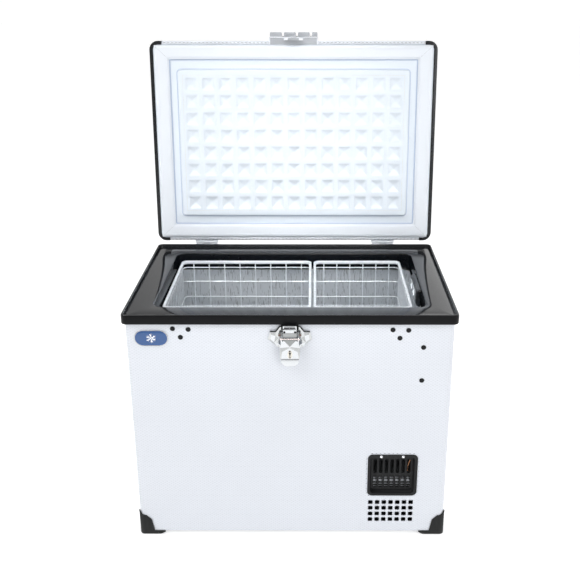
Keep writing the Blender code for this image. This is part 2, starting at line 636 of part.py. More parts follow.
def latch_lever():
    axle = empty("latch_lever_axle", (0, LEVER_PIN_Y, LEVER_PIN_Z), CHEST)
    zero_y, zero_z = LEVER_PIN_Y, LEVER_PIN_Z
    face = mirrored([(14.0, 442.0), (17.6, 437), (19.3, 430), (19.0, 405), (16.7, 400), (15.2, 395.5), (11, 392.6),
                     (5, 391.8)])
    lever = plate("latch_lever", [(x, z - zero_z) for x, z in face], 3.4, (0, LEVER_BACK_Y - zero_y, 0), FACING_FRONT,
                  CHROME, axle)
    for side in (-1, 1):
        arm = [(-0.6, 4.2), (-4.2, 1.6), (-10.6, -8.6), (-10.9, -24), (-7.5, -24), (-3.0, -12.0), (3.6, -3.2),
               (4.2, 0.8), (2.6, 3.6)]
        piece = plate(f"lever_arm_{side}", arm, 3.2, (side * 15.9, 0, 0), (math.pi / 2, 0, math.pi / 2), None, axle)
        join(lever, piece)
    hook_y, hook_z, lock_z = HOOK_PIN_Y - zero_y, HOOK_PIN_Z - zero_z, LOCK_Z - zero_z
    cut(lever, rod("lever_bore", (-30, 0, 0), (30, 0, 0), 2.1, parent=axle),
        rod("lever_hook_bore", (-30, hook_y, hook_z), (30, hook_y, hook_z), 2.3, parent=axle),
        rod("lock_bore", (0, -20, lock_z), (0, 4, lock_z), 6.3, parent=axle, segments=24))
    rod("latch_pin", (-18.0, hook_y, hook_z), (18.0, hook_y, hook_z), 2.0, CHROME, axle, 16)
    profile = [(0, 2.6), (5.4, 2.6), (6.0, 2.0), (6.0, -6), (4.0, -6), (4.0, -10), (0, -10)]
    barrel = turned("lock_cylinder", profile, (0, LEVER_BACK_Y - zero_y, lock_z), (0, -1, 0), CHROME, axle, steps=24)
    cut(barrel, box("keyway", (-0.9, -30, lock_z - 4), (0.9, -12.9 - zero_y, lock_z + 4), parent=axle))
    return lever


def latch_hook():
    axle = empty("latch_hook_axle", (0, HOOK_PIN_Y, HOOK_PIN_Z), CHEST)
    hook = box("latch_hook", (-13.2, -2.0, 1), (13.2, 1.6, 27.3), CHROME, axle, radius=1.5, axis=1)
    join(hook, box("hook_claw", (-12, -1.5, 23.3), (12, 7.6, 27.0), parent=axle, radius=1.2, axis=0),
         rod("hook_knuckle", (-13.2, 0, 0), (13.2, 0, 0), 4.0, parent=axle, segments=20))
    return cut(hook, rod("hook_bore", (-20, 0, 0), (20, 0, 0), 2.3, parent=axle))


# ---- hinges -----------------------------------------------------------------------------------------------

def hinge(name, side):
    """Body leaf on the rim's rear face, lid leaf on the lid's rear face, and the pin between them."""
    x0, x1 = sorted((side * HINGE_X0, side * HINGE_X1))
    third = (x1 - x0) / 3
    leaf = box(f"{name}_body_leaf", (x0, RIM_D + GAP, 448), (x1, RIM_D + 2.1, 493), CHROME, radius=3, axis=1)
    y, z = PIVOT_Y, PIVOT_Z
    a, b = x0 + third, x1 - third
    join(leaf, box(f"{name}_spacer", (x0 + 5, CASE_Y1 + GAP, 452), (x1 - 5, RIM_D + 1, 472)),
         box(f"{name}_riser", (a + GAP, RIM_D + GAP, 490), (b - GAP, RIM_D + 2.1, z), radius=0),
         rod(f"{name}_body_knuckle", (a + GAP, y, z), (b - GAP, y, z), KNUCKLE_R))
    cut(leaf, rod(f"{name}_body_bore", (x0 - 5, y, z), (x1 + 5, y, z), PIN_R + GAP, segments=12))
    rod(f"{name}_pin", (x0, y, z), (x1, y, z), PIN_R, CHROME, segments=12)
    lid_leaf = box(f"{name}_lid_leaf", (x0, -2.7, 3.6), (x1, -0.9, 34), CHROME, LID, radius=3, axis=1)
    for number, (low, high) in enumerate(((x0, a), (b, x1))):
        join(lid_leaf, box(f"{name}_drop_{number}", (low, -2.7, 0), (high, -0.9, 6), parent=LID),
             rod(f"{name}_lid_knuckle_{number}", (low, 0, 0), (high, 0, 0), KNUCKLE_R, parent=LID))
    return cut(lid_leaf, rod(f"{name}_lid_bore", (x0 - 5, 0, 0), (x1 + 5, 0, 0), PIN_R + GAP, parent=LID,
                             segments=12))


# ---- lid --------------------------------------------------------------------------------------------------

def lid_plan(name, inset, z0, z1, look=None, rim=0.0):
    """The lid's plan without the side trims, drawn in by inset: a cross of two blocks."""
    core_x, wing_x = LID_W / 2 - TRIM_W - GAP - inset, LID_W / 2 - TRIM_WRAP - GAP - inset
    wide = box(name, (-wing_x, LID_FRONT + inset, z0), (wing_x, LID_REAR - inset, z1), look, LID, rim=rim)
    edge = TRIM_W + GAP + inset
    return join(wide, box(f"{name}_core", (-core_x, LID_FRONT + edge, z0), (core_x, LID_REAR - edge, z1 - rim / 2),
                          parent=LID))


def lid_outer_skin():
    top = LID_UNDER + LID_T
    skin = lid_plan("lid_outer_skin", 0, LID_UNDER, top, WHITE_METAL, rim=3.0)
    return cut(skin, lid_plan("lid_skin_hollow", SHEET, LID_UNDER - 5, top - 3.2))


def lid_insulation():
    return lid_plan("lid_insulation", SHEET + GAP, LID_UNDER + 2.3, LID_UNDER + LID_T - 3.5, FOAM)


def pocket_positions():
    for column in range(POCKET_COLS):
        for row in range(POCKET_ROWS):
            x = (column - (POCKET_COLS - 1) / 2) * POCKET_PITCH
            middle = LID_REAR - (PANEL_NEAR + PANEL_FAR) / 2
            yield x, middle + (row - (POCKET_ROWS - 1) / 2) * POCKET_PITCH


def lid_inner_liner():
    """The liner sheet with its raised panel and the grid of pyramid pockets."""
    liner = lid_plan("lid_inner_liner", SHEET + GAP, LID_UNDER, LID_UNDER + 2, WHITE_PLASTIC)
    low = LID_UNDER - PANEL_H
    join(liner, box("waffle_panel", (-PANEL_X, LID_REAR - PANEL_FAR, low), (PANEL_X, LID_REAR - PANEL_NEAR, -3),
                    parent=LID, radius=6, foot=2.5))
    bm = bmesh.new()
    quarter = Matrix.Rotation(math.radians(45), 4, "Z")
    for x, y in pocket_positions():
        spot = Matrix.Translation(Vector((x, y, low + POCKET_DEEP / 2 - 0.5)) * MM)
        bmesh.ops.create_cone(bm, cap_ends=True, segments=4, radius1=(POCKET_W + 2.0) / math.sqrt(2) * MM,
                              radius2=8.0 / math.sqrt(2) * MM, depth=(POCKET_DEEP + 1) * MM,
                              matrix=spot @ quarter)
    return cut(liner, add_object("waffle_pockets", mesh_of(bm, "waffle_pockets"), (0, 0, 0), None, LID))


def lid_gasket():
    low, high = LID_UNDER - 5.7, LID_UNDER - GAP
    seal = box("lid_gasket", (-305, LID_REAR - 440, low), (305, LID_REAR - 12, high), WHITE_RUBBER, LID,
               radius=4, segments=2, foot=1.6)
    return cut(seal, box("gasket_inside", (-281, LID_REAR - 412, low - 5), (281, LID_REAR - 40, high + 5),
                         parent=LID, radius=2, segments=2))


def lid_side_trim(name, side):
    """A dark edge rail that covers the lid's side and wraps both corners."""
    x0, x1 = sorted((side * LID_W / 2, side * (LID_W / 2 - TRIM_WRAP)))
    trim = box(name, (x0, LID_FRONT, LID_UNDER), (x1, LID_REAR, LID_UNDER + LID_T), BLACK_PLASTIC, LID,
               radius=LID_R, segments=5, only=lambda spot: spot.x * side > 0, rim=2.0, foot=1.5)
    c0, c1 = sorted((side * (LID_W / 2 - TRIM_W), side * (LID_W / 2 - TRIM_WRAP - 20)))
    return cut(trim, box(f"{name}_core", (c0, LID_FRONT + TRIM_W, -20), (c1, LID_REAR - TRIM_W, 60), parent=LID))


def lid_keeper():
    """The hollow lift handle on the lid's front edge, with the lip that the latch hooks."""
    face = LID_FRONT - GAP
    keeper = box("lid_keeper", (-54, face - 14, LID_UNDER + 0.4), (54, face, LID_UNDER + 30), CHROME, LID,
                 radius=3, axis=2, rim=2)
    cut(keeper, box("keeper_hollow", (-50.5, face - 11.5, -30), (50.5, face - 2.5, LID_UNDER + 27), parent=LID,
                    radius=2))
    join(keeper, box("keeper_lip", (-22, face - 2.3, -20.8), (22, face - 0.4, 0), parent=LID),
         box("keeper_lip_turn", (-22, face - 5.5, -20.8), (22, face - 0.4, -18.6), parent=LID))
    for number in range(4):
        x = -52 + 31 * number
        width = min(25.7, 53 - x)
        join(keeper, box(f"keeper_pad_{number}", (x, face - 18, LID_UNDER + 4), (x + width, face - 12, 22),
                         parent=LID, radius=1.5, axis=0))
    return keeper


# ---- baskets ----------------------------------------------------------------------------------------------

def basket(name, x0, x1, floor):
    """The outer shape of a wire basket: walls and a floor around the open inside."""
    t = BASKET_T
    wall = box(name, (x0, BASKET_Y0, floor), (x1, BASKET_Y1, BASKET_TOP), WIRE_WHITE, radius=12)
    return cut(wall, box(f"{name}_inside", (x0 + t, BASKET_Y0 + t, floor + t), (x1 - t, BASKET_Y1 - t, 500),
                         radius=10))


def build():
    outer_casing()
    base_pan()
    insulation_foam()
    inner_tub()
    evaporator_coil()
    top_rim_frame()
    for side, side_name in ((-1, "left"), (1, "right")):
        corner_foot(f"corner_foot_front_{side_name}", side, False)
        corner_foot(f"corner_foot_rear_{side_name}", side, True)
        carry_handle(f"{side_name}_handle", side)
        hinge(f"{side_name}_hinge", side)
        lid_side_trim(f"lid_side_trim_{side_name}", side)
    front_vent_grille()
    for name, x in SCREW_XS.items():
        vent_screw(f"vent_screw_{name}", x)
    rear_vent_grille()
    badge_plate()
    bay_bulkhead()
    compressor()
    compressor_mount()
    condenser()
    fan_shroud()
    fan_motor()
    fan_rotor()
    control_module()
    filter_drier()
    pipes()
    inlet("ac_inlet", AC_Z, *AC_SIZE)
    inlet("dc_inlet", DC_Z, *DC_SIZE)
    control_panel()
    interior_lamp()
    latch_base()
    latch_lever()
    latch_hook()
    lid_outer_skin()
    lid_insulation()
    lid_inner_liner()
    lid_gasket()
    lid_keeper()
    basket("basket_left", -254, 40, TUB_FLOOR + GAP)
    basket("basket_right", 44.5, 240, TUB_STEP_FLOOR + GAP)


build()
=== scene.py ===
"""Looks of the compressor cooler fridge: detailed pieces, procedural materials, soft light and the camera.

Sizes are in millimetres in two frames. The chest frame has X=0 in the middle, Y=0 on the rim's front face with
+Y towards the hinges, and Z=0 under the feet. The lid frame is the closed lid, measured from its hinge axis.
CHEST and LID are the matrices that bring them to the model's own frame in metres.
"""

import json
import math

import bmesh
import bpy
from mathutils import Matrix, Vector


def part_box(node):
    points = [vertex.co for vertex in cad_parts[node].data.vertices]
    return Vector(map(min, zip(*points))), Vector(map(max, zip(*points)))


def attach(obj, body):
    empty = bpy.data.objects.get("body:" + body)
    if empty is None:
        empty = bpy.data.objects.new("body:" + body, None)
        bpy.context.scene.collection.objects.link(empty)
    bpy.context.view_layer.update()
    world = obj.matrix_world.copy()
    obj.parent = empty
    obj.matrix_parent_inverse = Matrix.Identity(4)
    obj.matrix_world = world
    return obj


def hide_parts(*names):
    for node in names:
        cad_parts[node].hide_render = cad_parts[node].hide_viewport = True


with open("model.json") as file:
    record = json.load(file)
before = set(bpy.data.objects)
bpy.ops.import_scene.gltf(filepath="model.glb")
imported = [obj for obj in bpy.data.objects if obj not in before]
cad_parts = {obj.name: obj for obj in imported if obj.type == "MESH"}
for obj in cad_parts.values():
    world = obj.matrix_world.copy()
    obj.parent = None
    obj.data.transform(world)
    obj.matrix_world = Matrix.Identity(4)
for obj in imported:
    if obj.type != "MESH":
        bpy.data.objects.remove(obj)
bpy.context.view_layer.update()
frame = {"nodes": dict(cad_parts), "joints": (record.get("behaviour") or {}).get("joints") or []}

MM = 0.001
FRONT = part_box("top_rim_frame")[0].y
HINGE = next(j for j in frame["joints"] if j["name"] == "lid_hinge")
OPEN = math.radians(-94.69)
CHEST = Matrix.Translation((0, FRONT, 0)) @ Matrix.Scale(MM, 4)
LID = Matrix.Translation(Vector(HINGE["pos_m"])) @ Matrix.Rotation(OPEN, 4, "X") @ Matrix.Scale(MM, 4)

CASE_X, CASE_Y0, CASE_Y1, CASE_Z0, CASE_Z1, SHEET = 313.5, 6.5, 442.5, 7.0, 484.0, 1.2
RIM_X, RIM_D = 320.0, 449.0
MOUTH_X, MOUTH_Y0, MOUTH_Y1, MOUTH_R = 266.0, 57.0, 391.0, 19.0


# ---- materials ----

def look(name, colour, rough, metallic=0.0, vary=0.04, grain=180.0, patch=9.0, rough_vary=0.06, bump=0.05,
         bump_size=900.0, depth=0.0002, coat=0.0, coat_rough=0.05, edge=0.0, specular=0.5, transmission=0.0,
         brushed=None, specks=0.0, speck_colour=(0.9, 0.9, 0.9), dimple_shade_waves=None):
    """A principled material whose colour, roughness and relief all vary over the surface."""
    made = bpy.data.materials.new(name)
    made.use_nodes = True
    tree = made.node_tree
    shader = tree.nodes["Principled BSDF"]

    def node(kind, **inputs):
        n = tree.nodes.new(kind)
        for key, value in inputs.items():
            n.inputs[key.replace("_", " ")].default_value = value
        return n

    def noise(scale, detail, source):
        n = node("ShaderNodeTexNoise", Scale=scale, Detail=detail, Roughness=0.55)
        tree.links.new(source, n.inputs["Vector"])
        return n.outputs["Fac"]

    def ranged(source, low, high, from_low=0.3, from_high=0.7):
        n = tree.nodes.new("ShaderNodeMapRange")
        for key, value in (("From Min", from_low), ("From Max", from_high), ("To Min", low), ("To Max", high)):
            n.inputs[key].default_value = value
        tree.links.new(source, n.inputs["Value"])
        return n.outputs["Result"]

    def blended(kind, factor, a, b):
        n = tree.nodes.new("ShaderNodeMix")
        n.data_type = "RGBA"
        n.blend_type = kind
        for socket, value in ((0, factor), (6, a), (7, b)):
            if isinstance(value, bpy.types.NodeSocket):
                tree.links.new(value, n.inputs[socket])
            else:
                n.inputs[socket].default_value = value
        return n.outputs[2]

    place = tree.nodes.new("ShaderNodeTexCoord").outputs["Object"]
    stretched = place
    if brushed:
        mapping = tree.nodes.new("ShaderNodeMapping")
        mapping.inputs["Scale"].default_value = brushed
        tree.links.new(place, mapping.inputs["Vector"])
        stretched = mapping.outputs["Vector"]
    dark = (*[c * (1 - vary) for c in colour], 1)
    light = (*[min(1.0, c * (1 + vary)) for c in colour], 1)
    broad = ranged(noise(patch, 3, place), 0, 1)
    fine = ranged(noise(grain, 4, stretched), 0, 1)
    shade = blended("MIX", broad, dark, light)
    grime = (*[c * (1 - vary * 1.5) for c in colour], 1)
    shade = blended("MIX", ranged(fine, 0, 0.5, 0, 1), shade, grime)
    if specks:
        dots = ranged(noise(bump_size * 1.7, 1, place), 0, 1, 1 - specks, 1.02 - specks)
        shade = blended("MIX", dots, shade, (*speck_colour, 1))
    # Painted shade: darkens the colour in a staggered sine pattern, for the shaded valleys of the pressed dimples.
    if dimple_shade_waves:
        waves = []
        for direction in dimple_shade_waves:
            along, wave = tree.nodes.new("ShaderNodeVectorMath"), tree.nodes.new("ShaderNodeMath")
            along.operation, wave.operation = "DOT_PRODUCT", "SINE"
            along.inputs[1].default_value = direction
            tree.links.new(place, along.inputs[0])
            tree.links.new(along.outputs["Value"], wave.inputs[0])
            waves.append(wave.outputs["Value"])
        cells = tree.nodes.new("ShaderNodeMath")
        cells.operation = "MULTIPLY"
        for number, wave in enumerate(waves):
            tree.links.new(wave, cells.inputs[number])
        painted_dimple_shade = (*[c * 0.89 for c in colour], 1)
        shade = blended("MIX", ranged(cells.outputs["Value"], 0, 1, 0.1, 0.8), shade, painted_dimple_shade)
    if edge:
        # Lightens sharp edges: partly wear, partly a painted edge highlight.
        geometry = tree.nodes.new("ShaderNodeNewGeometry")
        edge_wear_and_highlight = ranged(geometry.outputs["Pointiness"], 0, edge, 0.52, 0.62)
        shade = blended("MIX", edge_wear_and_highlight, shade, (*[min(1.0, c * 1.9 + 0.05) for c in colour], 1))
    tree.links.new(shade, shader.inputs["Base Color"])
    tree.links.new(ranged(fine, max(0.02, rough - rough_vary), rough + rough_vary, 0, 1),
                   shader.inputs["Roughness"])
    relief = tree.nodes.new("ShaderNodeBump")
    relief.inputs["Strength"].default_value = bump
    relief.inputs["Distance"].default_value = depth
    tree.links.new(noise(bump_size, 3, stretched), relief.inputs["Height"])
    tree.links.new(relief.outputs["Normal"], shader.inputs["Normal"])
    shader.inputs["Metallic"].default_value = metallic
    shader.inputs["Coat Weight"].default_value = coat
    shader.inputs["Coat Roughness"].default_value = coat_rough
    shader.inputs["Specular IOR Level"].default_value = specular
    shader.inputs["Transmission Weight"].default_value = transmission
    return made


def glowing(material, colour, strength):
    """Lets a material give off light of its own."""
    shader = material.node_tree.nodes["Principled BSDF"]
    shader.inputs["Emission Color"].default_value = (*colour, 1)
    shader.inputs["Emission Strength"].default_value = strength
    return material


# Pitches of the painted dimple shade on the white sheets.
PITCH_U, PITCH_V = math.pi / (4.2 * MM), math.pi / (2.85 * MM)
SHEET_LOOK = dict(vary=0.018, coat=0.25, coat_rough=0.12, bump=0.08, bump_size=1400, grain=420, rough_vary=0.05)
WHITE_METAL = look("white_lacquered_sheet", (0.745, 0.775, 0.83), 0.30, **SHEET_LOOK,
                   dimple_shade_waves=((PITCH_U, PITCH_U, 0), (0, 0, PITCH_V)))
LID_METAL = look("white_lacquered_lid_sheet", (0.745, 0.775, 0.83), 0.30, **SHEET_LOOK,
                 dimple_shade_waves=((PITCH_U, 0, 0), (0, PITCH_V, PITCH_V)))
WHITE_LINER = look("white_vacuum_formed_liner", (0.75, 0.81, 0.875), 0.34, vary=0.014, grain=260, bump=0.10,
                   bump_size=700, depth=0.0003)
WHITE_RUBBER = look("white_magnet_gasket", (0.79, 0.83, 0.885), 0.48, vary=0.025, grain=500, bump=0.14,
                    bump_size=1600)
BLACK_GLOSS = look("black_polished_frame", (0.012, 0.0135, 0.016), 0.075, vary=0.25, grain=90, rough_vary=0.025,
                   bump_size=160, depth=0.0004, coat=0.12, coat_rough=0.03)
BLACK_SATIN = look("black_satin_band", (0.004, 0.0042, 0.005), 0.34, vary=0.2, grain=240, bump=0.25,
                   bump_size=1500, edge=0.2, specular=0.14)
BLACK_TRIM = look("black_ribbed_trim", (0.007, 0.008, 0.010), 0.30, vary=0.2, grain=300, bump=0.22,
                  bump_size=1200, edge=0.3, specular=0.36)
BLACK_MOULDED = look("black_moulded_plastic", (0.008, 0.0085, 0.0095), 0.42, vary=0.2, grain=220, bump=0.3,
                     bump_size=1300, depth=0.0003, edge=0.25, specular=0.2)
DARK_RUBBER = look("dark_foot_rubber", (0.010, 0.011, 0.011), 0.44, vary=0.25, grain=300, bump=0.35,
                   bump_size=1100, depth=0.0004, edge=0.5, specks=0.14, speck_colour=(0.03, 0.032, 0.032),
                   specular=0.22)
CHROME = look("polished_chrome", (0.83, 0.84, 0.86), 0.10, metallic=1.0, vary=0.05, grain=600, rough_vary=0.05,
              bump=0.06, bump_size=350)
CHROME_SATIN = look("satin_chrome", (0.74, 0.75, 0.77), 0.24, metallic=1.0, vary=0.06, grain=800,
                    rough_vary=0.08, bump=0.10, bump_size=900, brushed=(1, 1, 0.08))
LATCH_METAL = look("latch_chrome", (0.66, 0.68, 0.70), 0.13, metallic=1.0, vary=0.05, grain=700, rough_vary=0.05,
                   bump=0.06, bump_size=400)
# Shaded and half-shaded copies of the latch chrome, for painted facet shade.
LATCH_SHADE = look("latch_shaded_facets", (0.50, 0.515, 0.52), 0.2, metallic=0.9, vary=0.06, grain=600, bump=0.06,
                   bump_size=400)
LATCH_HALF_SHADE = look("latch_half_shaded_facets", (0.59, 0.605, 0.61), 0.16, metallic=0.95, vary=0.06, grain=600, bump=0.06,
                 bump_size=400)
# Grey zinc plate, also used as painted shade in creases, gaps and hem dimples.
GREY_PLATE_AND_SHADE = look("grey_zinc_plate_and_shade", (0.37, 0.385, 0.385), 0.34, metallic=0.6, vary=0.07, grain=500, bump=0.12,
                  bump_size=900)
PINK_CHROME = look("warm_chrome_bar", (0.82, 0.74, 0.72), 0.14, metallic=1.0, vary=0.05, grain=500, bump=0.06,
                   bump_size=500)
TUB_METAL = look("lacquered_tub_sheet", (0.62, 0.65, 0.68), 0.30, metallic=0.35, vary=0.035, grain=340,
                 bump=0.12, bump_size=900, brushed=(1, 1, 0.15), coat=0.2, coat_rough=0.15)
KEEPER_GREY = look("keeper_brushed_plate", (0.47, 0.49, 0.52), 0.42, metallic=0.3, vary=0.05, grain=500, bump=0.12,
                   bump_size=900)
KEEPER_LIGHT = look("keeper_satin_cap", (0.66, 0.69, 0.73), 0.36, metallic=0.3, grain=500, bump=0.1,
                    bump_size=700)
KEEPER_WHITE = look("keeper_bright_edge", (0.84, 0.86, 0.90), 0.3, metallic=0.1, vary=0.03, grain=400, bump=0.06)
BLUE_SHADE = look("liner_crease_shade", (0.52, 0.60, 0.76), 0.6, grain=300, bump=0.1)
BLACK_NECK = look("black_neck_wall", (0.004, 0.005, 0.007), 0.12, vary=0.25, grain=90, bump_size=160,
                  specular=0.16)
STEEL = look("galvanised_steel", (0.52, 0.53, 0.54), 0.38, metallic=0.95, vary=0.12, grain=130, rough_vary=0.12,
             bump=0.12, bump_size=600)
COPPER = look("dull_copper", (0.72, 0.36, 0.20), 0.28, metallic=1.0, vary=0.14, grain=180, rough_vary=0.12,
              bump=0.12, bump_size=700)
FOAM = look("yellow_rigid_foam", (0.78, 0.66, 0.38), 0.85, vary=0.08, grain=260, bump=0.7, bump_size=900,
            depth=0.0008, specular=0.2)
WIRE_WHITE = look("white_dipped_wire", (0.80, 0.84, 0.88), 0.26, vary=0.03, grain=300, bump=0.12,
                  bump_size=420, depth=0.0003, coat=0.4, coat_rough=0.08)
BLACK_CAST = look("black_enamelled_shell", (0.016, 0.016, 0.018), 0.32, vary=0.25, grain=140, bump=0.4,
                  bump_size=420, depth=0.0005, edge=0.3, coat=0.3, coat_rough=0.2)
FIN_METAL = look("dark_fin_metal", (0.05, 0.052, 0.055), 0.42, metallic=0.7, vary=0.2, grain=420, bump=0.25,
                 bump_size=1200, edge=0.4)
BLACK_METAL = look("black_coated_metal", (0.020, 0.020, 0.022), 0.38, metallic=0.3, vary=0.2, grain=260,
                   bump=0.3, bump_size=1400, edge=0.4)
GRIP_RUBBER = look("soft_grip_rubber", (0.022, 0.022, 0.024), 0.62, vary=0.2, grain=300, bump=0.4,
                   bump_size=1800, depth=0.0003)
LENS = look("frosted_lamp_lens", (0.88, 0.92, 0.95), 0.18, vary=0.02, grain=320, bump=0.3, bump_size=260,
            depth=0.0005, coat=0.5, transmission=0.25)
DISPLAY = look("smoked_display_window", (0.018, 0.020, 0.024), 0.06, vary=0.2, grain=200, rough_vary=0.02,
               bump=0.03, coat=0.8)
BUTTON_GREY = look("button_rubber", (0.42, 0.44, 0.46), 0.5, vary=0.06, grain=420, bump=0.25, bump_size=1300)
SHADOW = look("dark_recess", (0.004, 0.004, 0.0045), 0.7, vary=0.3, grain=300, bump=0.3, specular=0.2)
# Brown painted shade for the latch's side notches.
BROWN_NOTCH_SHADE = look("brown_recess_shade", (0.11, 0.065, 0.05), 0.5, vary=0.3, grain=500, bump=0.3)
SILVER_BADGE = look("brushed_badge", (0.60, 0.62, 0.65), 0.26, metallic=0.9, vary=0.05, grain=900, bump=0.15,
                    bump_size=1200, brushed=(0.05, 1, 1))
BLUE_MARK = look("blue_enamel", (0.02, 0.09, 0.28), 0.22, vary=0.1, grain=300, bump=0.08, coat=0.5)
CREAM = look("cream_key_surround", (0.74, 0.71, 0.64), 0.22, metallic=0.6, vary=0.05, grain=500, bump=0.08)
BOARD = look("grey_module_shell", (0.10, 0.11, 0.12), 0.45, vary=0.1, grain=300, bump=0.3, bump_size=1100)


# ---- mesh helpers ----

def link(name, mesh):
    made = bpy.data.objects.new(name, mesh)
    bpy.context.scene.collection.objects.link(made)
    return made


def mesh_of(name, bm):
    bmesh.ops.recalc_face_normals(bm, faces=bm.faces)
    mesh = bpy.data.meshes.new(name)
    bm.to_mesh(mesh)
    bm.free()
    return mesh


def merged(*parts):
    """One bmesh that holds all the given ones."""
    whole = bmesh.new()
    for bm in parts:
        mesh = bpy.data.meshes.new("part")
        bm.to_mesh(mesh)
        bm.free()
        whole.from_mesh(mesh)
        bpy.data.meshes.remove(mesh)
    return whole


def smooth(mesh, angle=35):
    """Smooth faces, with the edges sharper than angle kept crisp."""
    bm = bmesh.new()
    bm.from_mesh(mesh)
    for face in bm.faces:
        face.smooth = True
    for e in bm.edges:
        e.smooth = len(e.link_faces) == 2 and e.calc_face_angle(0.0) < math.radians(angle)
    bm.to_mesh(mesh)
    bm.free()


def piece(name, bm, material, body, replaces=(), at=CHEST, angle=35):
    """A finished piece from a bmesh in millimetres."""
    mesh = bm if isinstance(bm, bpy.types.Mesh) else mesh_of(name, bm)
    mesh.name = name
    mesh.transform(at)
    smooth(mesh, angle)
    mesh.materials.clear()
    mesh.materials.append(material)
    made = link(name, mesh)
    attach(made, body)
    if replaces:
        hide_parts(*replaces)
    return made


def boolean(bm_a, bm_b, operation="DIFFERENCE"):
    """The exact Boolean of two closed bmeshes, as a new bmesh."""
    a, b = link("a", mesh_of("a", bm_a)), link("b", mesh_of("b", bm_b))
    step = a.modifiers.new("step", "BOOLEAN")
    step.operation, step.solver, step.object = operation, "EXACT", b
    graph = bpy.context.evaluated_depsgraph_get()
    mesh = bpy.data.meshes.new_from_object(a.evaluated_get(graph))
    made = bmesh.new()
    made.from_mesh(mesh)
    for thing in (a, b):
        bpy.data.objects.remove(thing)
    bpy.data.meshes.remove(mesh)
    return made


def block(low, high, bevel=0.0, segments=2, pick=None):
    """A box with its edges rounded, all of them or those that pick(middle, direction) chooses."""
    bm = bmesh.new()
    low, high = Vector(low), Vector(high)
    size = high - low
    bmesh.ops.create_cube(bm, size=1, matrix=Matrix.Translation((low + high) / 2) @ Matrix.Diagonal((*size, 1)))
    if bevel:
        edges = [e for e in bm.edges
                 if pick is None or pick((e.verts[0].co + e.verts[1].co) / 2,
                                         (e.verts[1].co - e.verts[0].co).normalized())]
        bmesh.ops.bevel(bm, geom=edges, offset=bevel, segments=segments, profile=0.5, affect="EDGES")
    return bm


def rounded(x0, x1, y0, y1, r, steps=6):
    """A rounded rectangle's outline, as (x, y) points."""
    made = []
    for number, (cx, cy) in enumerate(((x1 - r, y0 + r), (x1 - r, y1 - r), (x0 + r, y1 - r), (x0 + r, y0 + r))):
        for k in range(steps + 1):
            turn = math.radians(-90 + 90 * number + 90 * k / steps)
            made.append((cx + r * math.cos(turn), cy + r * math.sin(turn)))
    return made


def loft(rings, ends="caps"):
    """A closed body through rings of equally many 3-D points: capped at its ends, or joined round to itself."""
    bm = bmesh.new()
    rows = [[bm.verts.new(p) for p in ring] for ring in rings]
    pairs = list(zip(rows, rows[1:]))
    if ends == "loop":
        pairs.append((rows[-1], rows[0]))
    for a, b in pairs:
        count = len(a)
        for k in range(count):
            bm.faces.new((a[k], a[(k + 1) % count], b[(k + 1) % count], b[k]))
    if ends == "caps":
        bm.faces.new(rows[0][::-1])
        bm.faces.new(rows[-1])
    return bm


def prism(outline, low, high, axis="y", bevel=0.0, segments=2):
    """An extruded outline between two levels on an axis, with its rim edges rounded."""
    def spot(a, b, level):
        return {"x": (level, a, b), "y": (a, level, b), "z": (a, b, level)}[axis]

    bm = loft([[spot(a, b, low) for a, b in outline], [spot(a, b, high) for a, b in outline]])
    if bevel:
        bmesh.ops.recalc_face_normals(bm, faces=bm.faces)
        index = "xyz".index(axis)
        edges = [e for e in bm.edges if abs(e.verts[0].co[index] - e.verts[1].co[index]) < 1e-6]
        bmesh.ops.bevel(bm, geom=edges, offset=bevel, segments=segments, profile=0.5, affect="EDGES",
                        clamp_overlap=True)
    return bm


def turned(profile, centre, axis, steps=32):
    """A body of revolution: (radius, height) points about an axis through centre."""
    turn = Vector((0, 0, 1)).rotation_difference(Vector(axis)).to_matrix()
    bm = bmesh.new()
    rows = []
    for radius, height in profile:
        if radius < 1e-6:
            rows.append([bm.verts.new(Vector(centre) + turn @ Vector((0, 0, height)))])
            continue
        ring = []
        for k in range(steps):
            a = 2 * math.pi * k / steps
            ring.append(bm.verts.new(Vector(centre) + turn @ Vector((radius * math.cos(a), radius * math.sin(a),
                                                                     height))))
        rows.append(ring)
    for a, b in zip(rows, rows[1:]):
        for k in range(steps):
            corners = [a[k % len(a)], a[(k + 1) % len(a)], b[(k + 1) % len(b)], b[k % len(b)]]
            kept = list(dict.fromkeys(corners))
            if len(kept) > 2:
                bm.faces.new(kept)
    for row in (rows[0], rows[-1]):
        if len(row) > 1:
            bm.faces.new(row)
    return bm


def wire(points, radius, sides=8, closed=False):
    """A round wire along points, kept from twisting."""
    bm = bmesh.new()
    spots = [Vector(p) for p in points]
    count = len(spots)
    normal = None
    rows = []
    for k, spot in enumerate(spots):
        if closed:
            ahead, behind = spots[(k + 1) % count], spots[k - 1]
        else:
            ahead, behind = spots[min(k + 1, count - 1)], spots[max(k - 1, 0)]
        along = (ahead - behind).normalized()
        if normal is None:
            normal = along.orthogonal().normalized()
        normal = (normal - along * normal.dot(along)).normalized()
        side = along.cross(normal)
        row = []
        for s in range(sides):
            a = 2 * math.pi * s / sides
            row.append(bm.verts.new(spot + (normal * math.cos(a) + side * math.sin(a)) * radius))
        rows.append(row)
    pairs = list(zip(rows, rows[1:])) + ([(rows[-1], rows[0])] if closed else [])
    for a, b in pairs:
        shift = 0
        if closed and a is rows[-1]:
            shift = min(range(sides), key=lambda s: (a[0].co - b[s].co).length)
        for s in range(sides):
            bm.faces.new((a[s], a[(s + 1) % sides], b[(s + 1 + shift) % sides], b[(s + shift) % sides]))
    if not closed:
        bm.faces.new(rows[0])
        bm.faces.new(rows[-1])
    return bm


